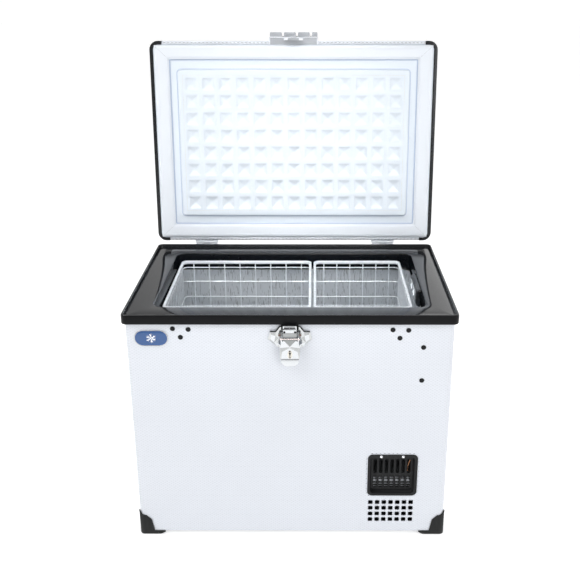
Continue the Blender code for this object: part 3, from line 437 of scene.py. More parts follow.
def bent(points, radius=6.0, steps=4):
    """A path with its inner corners rounded by quadratic bends."""
    spots = [Vector(p) for p in points]
    made = [spots[0]]
    for a, b, c in zip(spots, spots[1:], spots[2:]):
        reach = min(radius, (a - b).length * 0.49, (c - b).length * 0.49)
        start, end = b + (a - b).normalized() * reach, b + (c - b).normalized() * reach
        for k in range(steps + 1):
            t = k / steps
            made.append(start * (1 - t) ** 2 + b * 2 * t * (1 - t) + end * t ** 2)
    return made + [spots[-1]]


# ---- casing ----

CELL_W, CELL_H, DIMPLE = 4.2, 2.85, 0.75


def emboss_columns(x0, x1, y0, y1, r):
    """Points round a wrapped sheet with their outward directions, about CELL_W apart."""
    made = []
    for number, (cx, cy) in enumerate(((x1 - r, y0 + r), (x1 - r, y1 - r), (x0 + r, y1 - r), (x0 + r, y0 + r))):
        for k in range(4):
            turn = math.radians(-90 + 90 * number + 90 * k / 4)
            out = Vector((math.cos(turn), math.sin(turn), 0))
            made.append((Vector((cx, cy, 0)) + out * r, out))
        length = (y1 - y0 if number % 2 == 0 else x1 - x0) - 2 * r
        turn = math.radians(90 * number)
        out, ahead = Vector((math.cos(turn), math.sin(turn), 0)), Vector((-math.sin(turn), math.cos(turn), 0))
        count = int(length / CELL_W)
        for k in range(count):
            made.append((Vector((cx, cy, 0)) + out * r + ahead * length * k / count, out))
    return made


def dimpled(row, column):
    """Whether a grid point is the bottom of one of the staggered dimples."""
    return row % 2 == 0 and (column + row // 2) % 2 == 0


def embossed_shell(x0, x1, y0, y1, r, z0, z1):
    """A wrapped sheet with staggered dimples pressed in."""
    columns = emboss_columns(x0, x1, y0, y1, r)
    rows = int((z1 - z0) / CELL_H)
    rings = []
    for row in range(rows + 1):
        z = z0 + (z1 - z0) * row / rows
        ring = []
        for column, (spot, out) in enumerate(columns):
            pressed = DIMPLE if dimpled(row, column) and row not in (0, rows) else 0.0
            ring.append((spot.x - out.x * pressed, spot.y - out.y * pressed, z))
        rings.append(ring)
    for z in (z1, z0):
        rings.append([(spot.x - out.x * SHEET, spot.y - out.y * SHEET, z) for spot, out in columns])
    return loft(rings, "loop")


HOLES = [(161.5 + 13.75 * column, 36.0 + 13.75 * row) for column in range(7) for row in range(4)]


def outline_ring(x0, x1, z0, z1, r, y, steps=6):
    return [(a, y, b) for a, b in rounded(x0, x1, z0, z1, r, steps)]


def casing():
    shell = embossed_shell(-CASE_X, CASE_X, CASE_Y0, CASE_Y1, 9, CASE_Z0 + 0.9, CASE_Z1)
    cutters = [prism(rounded(153, 256, 92, 190.8, 11), 0, 12)]
    for x, z in HOLES:
        cutters.append(prism(rounded(x - 4.8, x + 4.8, z - 4.6, z + 4.8, 2, 3), 0, 12))
    cutters.append(prism(rounded(110, 250, 60, 200, 11), 436, 450))
    for z, w, h in ((180, 34, 28), (140, 28, 28)):
        cutters.append(prism(rounded(283.5 - w / 2, 278.5 + w / 2, z - h / 2 + 2.5, z + h / 2 - 2.5, 3), 436, 450))
    shell = boolean(shell, merged(*cutters))
    piece("casing_sheet", shell, WHITE_METAL, "chest", ["outer_casing"], angle=180)
    rolls = [wire(outline_ring(153.3, 255.7, 92.3, 190.5, 10.7, 6.5), 0.75, 6, closed=True)]
    for x, z in HOLES:
        rolls.append(wire(outline_ring(x - 4.8, x + 4.8, z - 4.6, z + 4.8, 2.0, 6.5, 3), 0.2, 5, closed=True))
    piece("punched_hole_rolled_edges", merged(*rolls), WHITE_METAL, "chest")
    seam = [wire([(x, 442.75, 12), (x, 442.75, 470)], 0.5, 6) for x in (-40.0, -39.0)]
    piece("casing_rear_seam", merged(*seam), WHITE_METAL, "chest")


casing()


# ---- rim ----

def rim():
    def ring(x, y0, y1, r, z):
        return [(a, b, z) for a, b in rounded(-x, x, y0, y1, r, 8)]

    def outer(inset, z, r=None):
        return ring(RIM_X - inset, inset, RIM_D - inset, max(1.0, (12 if r is None else r) - inset), z)

    def mouth(grow, z):
        return ring(MOUTH_X + grow, MOUTH_Y0 - grow, MOUTH_Y1 + grow, MOUTH_R + grow, z)

    band = [outer(6.2, 484.3, 15), outer(6.2, 474.3, 15), outer(6.0, 473.6, 15), outer(1.2, 473.5),
            outer(0.35, 473.85), outer(0, 474.7)]
    band += [outer(0, 482), outer(0, 489.6), outer(0.2, 491.0), outer(0.75, 492.2), outer(1.6, 492.85),
             outer(2.6, 493.0), outer(3.6, 492.9)]
    lip = [outer(4.3, 492.4), outer(4.7, 491.4), outer(4.9, 489.0), outer(5.1, 485.6), outer(5.9, 484.7),
           outer(7.4, 484.9), outer(8.1, 486.4), outer(8.6, 487.7), outer(9.4, 488.0)]
    hole = [mouth(3.5, 488.0), mouth(2.2, 487.8), mouth(1.0, 487.1), mouth(0.25, 486.0), mouth(0, 484.5),
            mouth(0, 470), mouth(0, 450), mouth(0.6, 449.2), mouth(2.4, 449.2), mouth(3, 449.6), mouth(3, 483.4),
            mouth(4, 484.3)]
    made = piece("rim_frame", loft(band + lip + hole, "loop"), BLACK_GLOSS, "chest",
                 ["top_rim_frame"], angle=50)
    made.data.materials.append(BLACK_SATIN)
    made.data.materials.append(BLACK_NECK)
    for face in made.data.polygons:
        middle = face.center
        if middle.z / MM < 487.4 and abs(middle.x) / MM < 267.0 and middle.y - FRONT < 392 * MM and \
                middle.y - FRONT > 56 * MM:
            face.material_index = 2
            continue
        level, side = middle.z / MM, max(abs(middle.x) / MM, abs(middle.y - FRONT - RIM_D / 2 * MM) / MM + 95.5)
        if level < 492.1 and side > 317.0:
            face.material_index = 1


rim()


# ---- tub ----

def tub_folds():
    """Pressed beads in the tub's walls and on its two floor levels."""
    beads = []
    for z in (300, 360, 420):
        ring = [(a, b, z) for a, b in rounded(-265.4, 265.4, 57.6, 390.4, 18.4, 5)]
        beads.append(wire(ring, 1.1, 6, closed=True))
    piece("tub_wall_beads", merged(*beads), TUB_METAL, "chest")
    floor = [wire([(a, 80, 110.4), (a, 368, 110.4)], 1.3, 6) for a in (-220, -160, -100, -40)]
    floor += [wire([(a, 80, 250.4), (a, 368, 250.4)], 1.3, 6) for a in (90, 140, 190)]
    piece("tub_floor_beads", merged(*floor), TUB_METAL, "chest")


tub_folds()


# ---- front details ----

SLOT_PITCH, SLOT_HALF = 11.3, 3.7
SLOT_XS = [170.2 + SLOT_PITCH * number for number in range(7)]
LOUVRES = ((119.4, 126.6), (112.9, 117.3), (107.6, 111.0))


def vent():
    outer, inner = rounded(153.4, 255.6, 92.4, 190.4, 10.6), rounded(159.8, 248.2, 98.6, 182.2, 7.5)
    seat, floor = rounded(161.5, 246.5, 100.5, 180.5, 5.5), rounded(162.6, 245.4, 101.6, 179.4, 5)

    def ring(points, y, grow=0.0):
        cx, cz = 204.5, 140.5
        return [(a + math.copysign(grow, a - cx), y, b + math.copysign(grow, b - cz)) for a, b in points]

    frame_ring = loft([ring(outer, 9.4), ring(outer, 7.6), ring(outer, 7.05, -0.5), ring(outer, 6.9, -1.4),
                       ring(inner, 6.95, 1.2), ring(inner, 7.3, 0.3), ring(inner, 8.4, -0.2),
                       ring(seat, 10.5, 0.2), ring(floor, 16.0, 0.2), ring(floor, 16.0, -0.4),
                       ring(floor, 18.8, -0.4), ring(inner, 18.8, 0.6), ring(inner, 9.4, 0.6)], "loop")
    panel = prism(rounded(162.4, 245.6, 101.4, 179.6, 5.2), 16.5, 18.9)
    slots = []
    for x in SLOT_XS:
        slots.append(prism(rounded(x - SLOT_HALF, x + SLOT_HALF, 140.3, 172.4, 3.4, 5), 10, 25))
        for z0, z1 in ((127.6, 133.4), *LOUVRES):
            slots.append(prism(rounded(x - SLOT_HALF, x + SLOT_HALF, z0, z1, 1.0, 2), 10, 25))
    panel = boolean(panel, merged(*slots))
    rims = []
    for x in SLOT_XS:
        rims.append(wire(outline_ring(x - 3.9, x + 3.9, 140.1, 172.6, 3.6, 16.4, 5), 0.45, 6, closed=True))
    piece("vent_grille_frame", frame_ring, BLACK_MOULDED, "chest", ["front_vent_grille"])
    piece("vent_grille_panel", panel, BLACK_MOULDED, "chest")
    piece("vent_grille_slot_lips", merged(*rims), BLACK_MOULDED, "chest")
    louvres = []
    for x in SLOT_XS:
        for z0, z1 in LOUVRES:
            middle, half = (z0 + z1) / 2, (z1 - z0) / 2
            tilt = [(0, -0.9), (0.7, -0.9), (5.4, 0.66), (5.4, 1), (4.6, 1)]
            outline = [(19.4 + a, middle + b * half) for a, b in tilt]
            louvres.append(prism(outline, x - 3.6, x + 3.6, "x"))
    piece("vent_grille_louvres", merged(*louvres), KEEPER_GREY, "chest")
    lead = wire(bent([(236.4, 19.7, 143), (236.0, 19.8, 151), (238.0, 20.0, 160), (241.2, 20.4, 170)], 6, 4), 0.8, 8)
    piece("vent_copper_lead", lead, COPPER, "chest")
    for name, x in (("left", 181), ("right", 225)):
        head = turned([(0, 2.9), (1.9, 2.6), (3.0, 1.6), (3.3, 0.6), (3.3, 0.1), (1.2, 0.1), (1.2, -5.5), (0, -6.5)],
                      (x, 6.75, 184.6), (0, -1, 0), 28)
        turn = Matrix.Translation((x, 0, 184.6)) @ Matrix.Rotation(math.radians(24), 4, "Y")
        for part in (block((-2.2, 0, -0.42), (2.2, 5.0, 0.42)), block((-0.42, 0, -2.2), (0.42, 5.0, 2.2))):
            bmesh.ops.transform(part, matrix=turn, verts=part.verts)
            head = boolean(head, part)
        piece(f"vent_screw_head_{name}", head, CHROME, "chest", [f"vent_screw_{name}"])


vent()


def badge():
    plate = rounded(-296.4, -232.2, 427.6, 460.4, 16.0, 10)
    cx, cz = -264.3, 444.0

    def ring(shrink, y):
        return [(cx + (a - cx) * (1 - shrink / 31.35), y, cz + (b - cz) * (1 - shrink / 16.15)) for a, b in plate]

    base = loft([ring(0, 6.2), ring(0, 5.3), ring(0.3, 4.75), ring(0.8, 4.5), ring(1.3, 4.6), ring(1.6, 5.0)])
    piece("badge_rim", base, SILVER_BADGE, "chest", ["badge_plate"])
    field = loft([ring(1.5, 5.3), ring(1.5, 4.9), ring(2.0, 4.55), ring(7, 4.45)])
    piece("badge_field", field, BLUE_MARK, "chest")
    arms = []
    for number in range(6):
        spin = Matrix.Translation((cx, 4.5, cz)) @ Matrix.Rotation(math.radians(60 * number), 4, "Y")
        for points in ([(0, 0, 0), (0, 0, 9.6)], [(0, 0, 5.2), (2.7, 0, 7.9)], [(0, 0, 5.2), (-2.7, 0, 7.9)],
                       [(0, 0, 2.6), (1.7, 0, 4.3)], [(0, 0, 2.6), (-1.7, 0, 4.3)]):
            arms.append(wire([spin @ Vector(p) for p in points], 0.42, 6))
    piece("badge_snowflake", merged(*arms), CHROME, "chest")


badge()

PLUGS = [(-222.8, 462.9), (-193.2, 461.4), (-208.6, 445.3), (195.3, 460.8), (225.2, 459.9), (209.1, 443.7),
         (255, 424.4), (254.4, 354.5)]


def plugs():
    profile = [(0, 1.3), (2.6, 1.25), (3.0, 0.95), (3.6, 0.9), (4.4, 0.7), (4.9, 0.1), (4.9, -0.2), (3.2, -0.2),
               (3.2, -2.6), (0, -2.6)]
    for number, (x, z) in enumerate(PLUGS):
        piece(f"blanking_plug_{number + 1}", turned(profile, (x, 6.4, z), (0, -1, 0), 28), BLACK_MOULDED, "chest")


plugs()


def corner_foot(name, side, back):
    """A corner protector with swept wings, a proud edge bead, a curled tip and a rounded sole."""
    def y(value):
        return RIM_D - value if back else value

    wing = [(262.2, 8.2), (283.2, 8.6), (284.2, 10), (285.2, 14), (287, 24), (289.4, 35.6), (291, 37.6),
            (300.5, 46.4), (302.5, 45.8), (306, 47.4), (309.8, 49.6), (312, 52.2), (313.4, 54.6), (315.5, 55.2)]
    turn = [math.radians(a) for a in range(0, 91, 15)]
    heights = dict(wing)
    stops = sorted(heights)

    def height(x):
        for a, b in zip(stops, stops[1:]):
            if a <= x <= b:
                t = (x - a) / (b - a)
                return heights[a] * (1 - t) + heights[b] * t
        return heights[stops[-1]]

    path = []
    for x in (262.2, 263, 265, 268, 271, 274, 278, 282, 283.2, 284.2, 285.2, 287, 289.4, 291, 295, 298, 300.5,
              302.5, 304.4):
        path.append((x, 4.6, height(x), (0, -1), 6.2 * max(0, (274 - x) / 12) ** 1.7))
    for a in turn:
        out = (math.sin(a), -math.cos(a))
        path.append((306 + 9.4 * out[0], 14 + 9.4 * out[1], height(306 + 9.4 * math.sin(a)), out, 0))
    path += [(320 - yy, 320 - x, top, (-oy, -ox), lift) for x, yy, top, (ox, oy), lift in path[:19]][::-1]
    rows = []
    for x, yy, top, (ox, oy), lift in path:
        inner, sole = 1.75, 1.4 * (1 - lift / 6.2)
        rows.append([(x - ox * inner, yy - oy * inner, lift + 0.2), (x - ox * sole, yy - oy * sole, lift),
                     (x - ox * 0.3, yy - oy * 0.3, lift + sole * 0.5), (x, yy, lift + sole * 1.4 + 0.05),
                     (x, yy, top - 0.7), (x - ox * 0.3, yy - oy * 0.3, top - 0.2), (x - ox * 0.7, yy - oy * 0.7, top),
                     (x - ox * 1.4, yy - oy * 1.4, top), (x - ox * inner, yy - oy * inner, top - 0.3)])
    foot = loft([[(side * px, y(py), pz) for px, py, pz in row] for row in rows])
    bead = [(side * x, y(yy), top - 1.2) for x, yy, top, out, lift in path[8:-8]]
    low, high = sorted((side * 266, side * 312))
    ylow, yhigh = sorted((y(8), y(54)))
    pad = prism(rounded(low, high, ylow, yhigh, 7, 5), 0.0, 5.6, "z", 1.2)
    treads = [wire([(side * a, y(14), 0.75), (side * a, y(48), 0.75)], 0.7, 6) for a in (272, 279, 286, 293, 300)]
    piece(f"{name}_shell", merged(foot, wire(bead, 0.55, 6), pad, *treads), DARK_RUBBER, "chest",
          [name], angle=42)


for SIDE, SIDE_NAME in ((-1, "left"), (1, "right")):
    corner_foot(f"corner_foot_front_{SIDE_NAME}", SIDE, False)
    corner_foot(f"corner_foot_rear_{SIDE_NAME}", SIDE, True)


# ---- latch ----

LEVER_Y, LEVER_Z, HOOK_Y, HOOK_Z, LOCK_Z = -3.0, 456.0, -9.0, 447.7, 418.5


def faceted(points, faces, back):
    """A plate with a faceted front: named (x, z, y) corners, faces by name, and a flat back at one depth."""
    bm = bmesh.new()
    made = {}
    for key, (x, z, y) in points.items():
        made[key] = bm.verts.new((x, y, z))
    for names in faces:
        bm.faces.new([made[key] for key in names.split()])
    rim = [e for e in bm.edges if len(e.link_faces) == 1]
    hull = bmesh.ops.extrude_edge_only(bm, edges=rim)["geom"]
    for v in (g for g in hull if isinstance(g, bmesh.types.BMVert)):
        v.co.y = back
    open_rim = [e for e in bm.edges if len(e.link_faces) == 1]
    bmesh.ops.contextual_create(bm, geom=open_rim)
    return bm


def mirrored_points(half):
    """Each (x, z, y) corner on the right, and its mirror on the left with an m before its name."""
    full = {}
    for key, (x, z, y) in half.items():
        full[key] = (x, z, y)
        if x:
            full["m" + key] = (-x, z, y)
    return full


def mirrored_faces(faces, middle):
    """Each face, and its mirror for corners that aren't in middle."""
    made = list(faces)
    for face in faces:
        names = [key if key in middle else (key[1:] if key[0] == "m" else "m" + key) for key in face.split()]
        if set(names) != set(face.split()):
            made.append(" ".join(names[::-1]))
    return made


def shade_facets_by_tilt(made):
    """Paints shade by tilt: a shaded copy of the chrome on facets that tilt up, a half-shaded one on those that tilt
    sideways.
    """
    made.data.materials.append(LATCH_SHADE)
    made.data.materials.append(LATCH_HALF_SHADE)
    for face in made.data.polygons:
        if face.normal.z > 0.06:
            face.material_index = 1
        elif abs(face.normal.x) > 0.07:
            face.material_index = 2


def latch_base():
    points = mirrored_points({
        "a": (12, 468.6, 3.0), "b": (19.4, 468.0, 3.0), "c": (26.9, 458.3, 3.4), "d": (38.0, 458.0, 4.2),
        "e": (42.2, 442.0, 5.2), "f": (26.0, 427.6, 5.0), "g": (19.7, 425.0, 4.2), "h": (12, 425, 3.8),
        "i": (35.6, 452.6, 2.0), "j": (27.6, 449.6, 3.4), "k": (37.0, 442.4, 2.6), "l": (30.0, 437.4, 1.6),
        "n": (21.5, 446.0, 1.7), "o": (21.0, 433.0, 3.0), "q": (12, 446, 3.4)})
    faces = mirrored_faces(["a b n q", "b c j n", "c d i j", "d e k i", "i k l j", "k e f l", "j l n", "l f o",
                            "l o n", "f g o", "g h o", "n o q", "o h q"], ())
    plate = faceted(points, faces, 6.2)
    cheeks = [prism([(-7.4, 452), (-6.6, 457.5), (-3.0, 460), (3.4, 460), (3.4, 449.6), (-3.5, 449.6)],
                    *sorted((side * 18.5, side * 20.9)), "x", 0.5) for side in (-1, 1)]
    axle = turned([(0, -21.9), (1.6, -21.9), (2.3, -21.3), (2.3, -20.9), (1.8, -20.9), (1.8, 20.9), (2.3, 20.9),
                   (2.3, 21.3), (1.6, 21.9), (0, 21.9)], (0, LEVER_Y, LEVER_Z), (1, 0, 0), 20)
    shade_facets_by_tilt(piece("latch_base_plate", merged(plate, *cheeks, axle), LATCH_METAL, "chest", ["latch_base"],
          angle=8))
    line = [(a, 3.0, b) for a, b in ((-38.0, 458.8), (-26.8, 459.0), (-19.6, 468.8), (-12, 470.8))]
    contours = [wire(line, 1.25, 8), wire([(-a, b, c) for a, b, c in line], 1.25, 8)]
    tongue = block((-16.5, 1.2, 463), (16.5, 6.1, 473.2), 0.6)
    piece("latch_shadow_gap", merged(*contours, tongue), SHADOW, "chest")
    # Painted shade: brown discs in the notches of the latch base.
    notch_shade_discs = [turned([(0, 0.9), (1.6, 0.8), (2.4, 0.2), (2.4, -0.5), (0, -0.5)],
                      (side * 19.7, -7.4, 455.4), (0, -1, 0), 20) for side in (-1, 1)]
    piece("latch_side_notch_shade", merged(*notch_shade_discs), BROWN_NOTCH_SHADE, "chest")


latch_base()


def latch_lever():
    points = mirrored_points({
        "a": (11.4, 446.2, -12.2), "b": (14.6, 444.6, -13.3), "c": (19.5, 431.0, -12.0), "v": (0, 434.2, -13.9),
        "w": (0, 431.6, -13.5), "f": (14.2, 424.6, -13.9), "g": (18.9, 409.8, -13.2), "h": (16.4, 409.2, -13.5),
        "s": (19.4, 424.0, -11.6)})
    faces = ["ma a v", *mirrored_faces(["a b c v", "c s f v", "v f w", "s g f"], ("v", "w"))]
    faces += ["mf w f h mh", "h g f", "mf mg mh"]
    plate = faceted(points, faces, -10.7)
    rings = []
    for z, half, depth in ((411.0, 16.6, -12.4), (408.9, 16.9, -12.9), (407.0, 16.9, -13.5), (402.4, 16.2, -13.9),
                           (398.4, 14.0, -14.3), (395.6, 10.8, -14.5), (394.0, 6.8, -14.3)):
        front = [(a * half, depth + 0.5 * abs(a) ** 3, z) for a in (-1, -0.7, -0.35, 0, 0.35, 0.7, 1)]
        rings.append(front + [(a, d + 1.5, b) for a, d, b in front[::-1]])
    lip = loft(rings)
    arms = []
    outline = [(-0.6, 4.2), (-4.2, 1.6), (-9.4, -8.6), (-9.6, -24), (-7.5, -24), (-3.0, -12.0), (3.6, -3.2),
               (4.2, 0.8), (2.6, 3.6)]
    for side in (-1, 1):
        arms.append(prism([(LEVER_Y + a, LEVER_Z + b) for a, b in outline],
                          *sorted((side * 14.4, side * 17.4)), "x", 0.5))
    shade_facets_by_tilt(piece("latch_lever_plate", merged(plate, *arms), LATCH_METAL, "latch_lever", ["latch_lever"],
               angle=5))
    piece("latch_lever_thumb_lip", lip, LATCH_METAL, "latch_lever")
    # Painted shade: a grey triangle over the lever's top facet.
    top_facet_shade = faceted(mirrored_points({"a": (10.9, 446.1, -12.4), "v": (0, 434.9, -14.0)}), ["ma a v"], -12.2)
    piece("latch_lever_top_facet_shade", top_facet_shade, GREY_PLATE_AND_SHADE, "latch_lever", angle=5)
    # Painted shade: thin grey lines in the lever's creases.
    crease_shade_lines = [wire([(-18.8, -13.2, 409.7), (18.8, -13.2, 409.7)], 0.35, 6),
               wire([(-14.2, -13.9, 424.6), (0, -13.6, 431.6), (14.2, -13.9, 424.6)], 0.16, 6)]
    piece("latch_lever_crease_shade", merged(*crease_shade_lines), GREY_PLATE_AND_SHADE, "latch_lever")
    oval = [(4.7 * math.cos(a), LOCK_Z - 0.2 + 8.6 * math.sin(a)) for a in (2 * math.pi * k / 40 for k in range(40))]
    bezel = loft([[(a, -13.2, b) for a, b in oval], [(a, -13.9, b) for a, b in oval],
                  [(a * 0.93, -14.1, LOCK_Z - 0.2 + (b - LOCK_Z + 0.2) * 0.95) for a, b in oval]])
    piece("lock_surround", bezel, CREAM, "latch_lever")
    barrel = turned([(0, 2.15), (3.6, 2.15), (4.2, 1.9), (4.4, 1.4), (4.4, -6), (3.4, -9), (0, -9)],
                    (0, -12.2, LOCK_Z), (0, -1, 0), 36)
    piece("lock_barrel", barrel, CREAM, "lock_cylinder", ["lock_cylinder"])
    # Painted shadow: a black bar and disc in front of the barrel for the dark keyway.
    key = merged(block((-0.85, -14.55, LOCK_Z - 4.1), (0.85, -13.6, LOCK_Z + 1.6), 0.2),
                 turned([(0, 2.38), (1.7, 2.36), (1.9, 2.2), (1.9, 1.4), (0, 1.4)], (0, -12.2, LOCK_Z + 2.2),
                        (0, -1, 0), 24))
    piece("lock_keyway_shade", key, SHADOW, "lock_cylinder")
    slots = merged(prism([(-1.1, 411.2), (1.1, 411.2), (1.2, 413.5), (-1.2, 413.5)], -14.3, -13.9, "y"),
                   prism(rounded(-1.5, 1.5, 423.6, 426.4, 1.2, 4), -14.3, -13.9, "y"))
    piece("lock_slot_shadow", slots, SHADOW, "lock_cylinder")
    bar = turned([(0, -18.6), (1.9, -18.5), (2.5, -17.4), (2.5, -15.6), (1.9, -14.6), (1.35, -14.2), (1.35, 14.2),
                  (1.9, 14.6), (2.5, 15.6), (2.5, 17.4), (1.9, 18.5), (0, 18.6)], (0, -11.9, 449.3), (1, 0, 0), 24)
    piece("latch_pivot_bar", bar, PINK_CHROME, "latch_lever", ["latch_pin"])


latch_lever()


def latch_hook():
    grey = [(-9.8, 452.4), (-10.2, 461.4), (-8.4, 461.4), (-8.3, 452.4)]
    band = [(-10.3, 461.0), (-11.0, 462.0), (-11.0, 469.0), (-10.2, 470.2), (-8.4, 470.2), (-8.4, 461.0)]
    claw = [(-9.6, 471.6), (-9.0, 474.9), (-2.0, 474.9), (-1.5, 474.2), (-1.5, 471.4), (-2.4, 471.2), (-8.4, 471.2)]
    rail = [(-9.9, 469.0), (-9.7, 474.6), (-8.0, 474.8), (-8.0, 469.0)]
    parts = [prism(band, -12.8, 12.8, "x", 0.5, 2), prism(claw, -11.9, 11.9, "x", 0.4)]
    parts += [prism(rail, *sorted((side * 10.8, side * 13.0)), "x", 0.4) for side in (-1, 1)]
    piece("latch_hook_clip", merged(*parts), LATCH_METAL, "latch_hook", ["latch_hook"])
    piece("latch_hook_plate", prism(grey, -13.0, 13.0, "x", 0.3), GREY_PLATE_AND_SHADE, "latch_hook")
    roll = turned([(2.2, -13.0), (2.6, -13.0), (2.9, -12.6), (2.9, 12.6), (2.6, 13.0), (2.2, 13.0)],
                  (0, HOOK_Y, HOOK_Z), (1, 0, 0), 28)
    piece("latch_hook_roll", roll, GREY_PLATE_AND_SHADE, "latch_hook")
    # Painted shadow: black discs for the two rivet holes.
    dots = [turned([(0, 0.35), (1.9, 0.3), (2.3, 0.05), (2.3, -0.5), (0, -0.5)], (x, -11.0, 463.0), (0, -1, 0), 20)
            for x in (-10.2, 10.2)]
    piece("latch_hook_rivet_hole_shade", merged(*dots), SHADOW, "latch_hook")


latch_hook()


# ---- lid ----

LID_REAR, LID_FRONT, LID_LOW, LID_TOP = -3.0, -453.2, -3.7, 38.3
CORE_X, WING_X = 311.95, 291.95
HEM_FRONT = -446.0


def lid_skin():
    """The embossed sheet: a strip wrapped over the lid's front, top and rear, and the top's two sides."""
    path = [(HEM_FRONT, LID_LOW, (0, -1)), (HEM_FRONT - 3.0, LID_LOW + 0.15, (-0.2, -1)),
            (LID_FRONT + 2.2, LID_LOW + 1.5, (-0.6, -0.8)), (LID_FRONT + 0.5, LID_LOW + 3.4, (-0.9, -0.4))]
    r = 3.0
    count = int((LID_TOP - r - LID_LOW - 6) / CELL_H)
    for k in range(count):
        path.append((LID_FRONT, LID_LOW + 6 + (LID_TOP - r - LID_LOW - 6) * k / count, (-1, 0)))
    for k in range(5):
        a = math.radians(180 - 90 * k / 4)
        path.append((LID_FRONT + r + r * math.cos(a), LID_TOP - r + r * math.sin(a), (math.cos(a), math.sin(a))))
    span = LID_REAR - LID_FRONT - 2 * r
    steps = int(span / CELL_W)
    for k in range(1, steps):
        path.append((LID_FRONT + r + span * k / steps, LID_TOP, (0, 1)))
    path += [(LID_REAR - (yy - LID_FRONT), zz, (-oy, oz)) for yy, zz, (oy, oz) in path[:count + 9][::-1]]
    columns = int(2 * WING_X / CELL_W)
    rings = []
    for column in range(columns + 1):
        x = -WING_X + 2 * WING_X * column / columns
        ring = []
        for row, (yy, zz, (oy, oz)) in enumerate(path):
            edge = row in (0, len(path) - 1) or column in (0, columns)
            pressed = 0.0 if edge or not dimpled(row, column) else DIMPLE
            ring.append((x, yy - oy * pressed, zz - oz * pressed))
        ring += [(x, yy - oy * SHEET, zz - oz * SHEET) for yy, zz, (oy, oz) in path[::-1]]
        rings.append(ring)
    skin = loft(rings)
    # Painted shade: short grey dashes along both hems, for the shaded dimples in the fold.
    hem_dent_shade = []
    for k in range(68):
        x = -WING_X + 5 + 8.6 * k
        for yy in (HEM_FRONT - 3.2, LID_REAR - 3.6):
            hem_dent_shade.append(wire([(x, yy, LID_LOW + 0.05), (x + 3.6, yy, LID_LOW + 0.05)], 0.55, 5))
    core = prism(rounded(-309, 309, LID_FRONT + 9, LID_REAR - 9, 12, 4), LID_LOW + 9, LID_TOP - 2.2, "z", 2.0)
    piece("lid_foam_core", core, FOAM, "lid", ["lid_insulation"], at=LID)
    piece("lid_hem_dent_shade", merged(*hem_dent_shade), GREY_PLATE_AND_SHADE, "lid", at=LID)
    strips = []
    for side in (-1, 1):
        y0, y1 = LID_FRONT + 7.3, LID_REAR - 7.3
        rows, cells = int((y1 - y0) / CELL_W), 5
        ring_list = []
        for row in range(rows + 1):
            yy = y0 + (y1 - y0) * row / rows
            ring = []
            for cell in range(cells + 1):
                x = WING_X + (CORE_X - WING_X) * cell / cells
                edge = row in (0, rows) or cell in (0, cells)
                pressed = 0.0 if edge or not dimpled(cell, row) else DIMPLE
                ring.append((side * x, yy, LID_TOP - pressed))
            ring += [(side * CORE_X, yy, LID_TOP - SHEET), (side * WING_X, yy, LID_TOP - SHEET)]
            ring_list.append(ring)
        strips.append(loft(ring_list))
    piece("lid_embossed_skin", merged(skin, *strips), LID_METAL, "lid", ["lid_outer_skin"], at=LID,
          angle=180)


lid_skin()

PANEL_LOW, POCKET = -11.7, 5.0
GRID_Y = -227.5


def waffle():
    """The liner's raised panel: thirteen by eight pyramid pockets with soft edges, and its sloping sides."""
    bm = bmesh.new()
    stations = ((None, PANEL_LOW), (13.6, PANEL_LOW), (13.15, PANEL_LOW + 0.25), (12.6, PANEL_LOW + 0.9),
                (7.6, PANEL_LOW + 3.3), (2.6, PANEL_LOW + POCKET))
    for column in range(13):
        for row in range(8):
            cx, cy = (column - 6) * 38.0, GRID_Y + (row - 3.5) * 38.0
            rows = []
            for half, level in stations:
                outline = rounded(-13.6, 13.6, -13.6, 13.6, 2.4, 2)
                if half is None:
                    points = []
                    for a, b in outline:
                        grow = 19.0 / max(abs(a), abs(b))
                        points.append((a * grow, b * grow))
                else:
                    points = rounded(-half, half, -half, half, min(2.4, half * 0.5), 2)
                rows.append([bm.verts.new((cx + a, cy + b, level)) for a, b in points])
            for a, b in zip(rows, rows[1:]):
                for k in range(len(a)):
                    bm.faces.new((a[k], a[(k + 1) % len(a)], b[(k + 1) % len(b)], b[k]))
            bm.faces.new(rows[-1])
    bmesh.ops.remove_doubles(bm, verts=bm.verts, dist=0.01)
    for face in bm.faces:
        if face.normal.z > 0:
            face.normal_flip()

    def ring(x, y0, y1, r, z):
        return [(a, b, z) for a, b in rounded(-x, x, y0, y1, r, 6)]

    edge = [ring(247.2, GRID_Y - 152.2, GRID_Y + 152.2, 0.3, PANEL_LOW), ring(255.2, -388.2, -66.8, 5, PANEL_LOW),
            ring(256.6, -389.6, -65.4, 6, PANEL_LOW + 0.4), ring(257.4, -390.4, -64.6, 7, PANEL_LOW + 1.6),
            ring(258.6, -391.6, -63.4, 8, -6.4), ring(259.6, -392.6, -62.4, 9, -5.2),
            ring(262.2, -395.2, -59.8, 11, -4.9), ring(264, -397, -58, 12, -4.5), ring(266, -399, -56, 13, -3.9),
            ring(281, -414, -41, 5, -3.8), ring(310.6, -445, -11, 6, -3.8), ring(311, -445.6, -10.4, 6, -2.6),
            ring(311, -445.6, -10.4, 6, -1.9)]
    dot = turned([(0, 0.9), (2.6, 0.8), (3.8, 0.4), (4.0, 0), (4.0, -0.6), (0, -0.6)], (265, -243, -4.6), (0, 0, -1),
                 24)
    piece("lid_waffle_liner", merged(bm, loft(edge, "open")), WHITE_LINER, "lid",
          ["lid_inner_liner"], at=LID, angle=40)
    piece("lid_liner_plug", dot, WHITE_LINER, "lid", at=LID)


waffle()


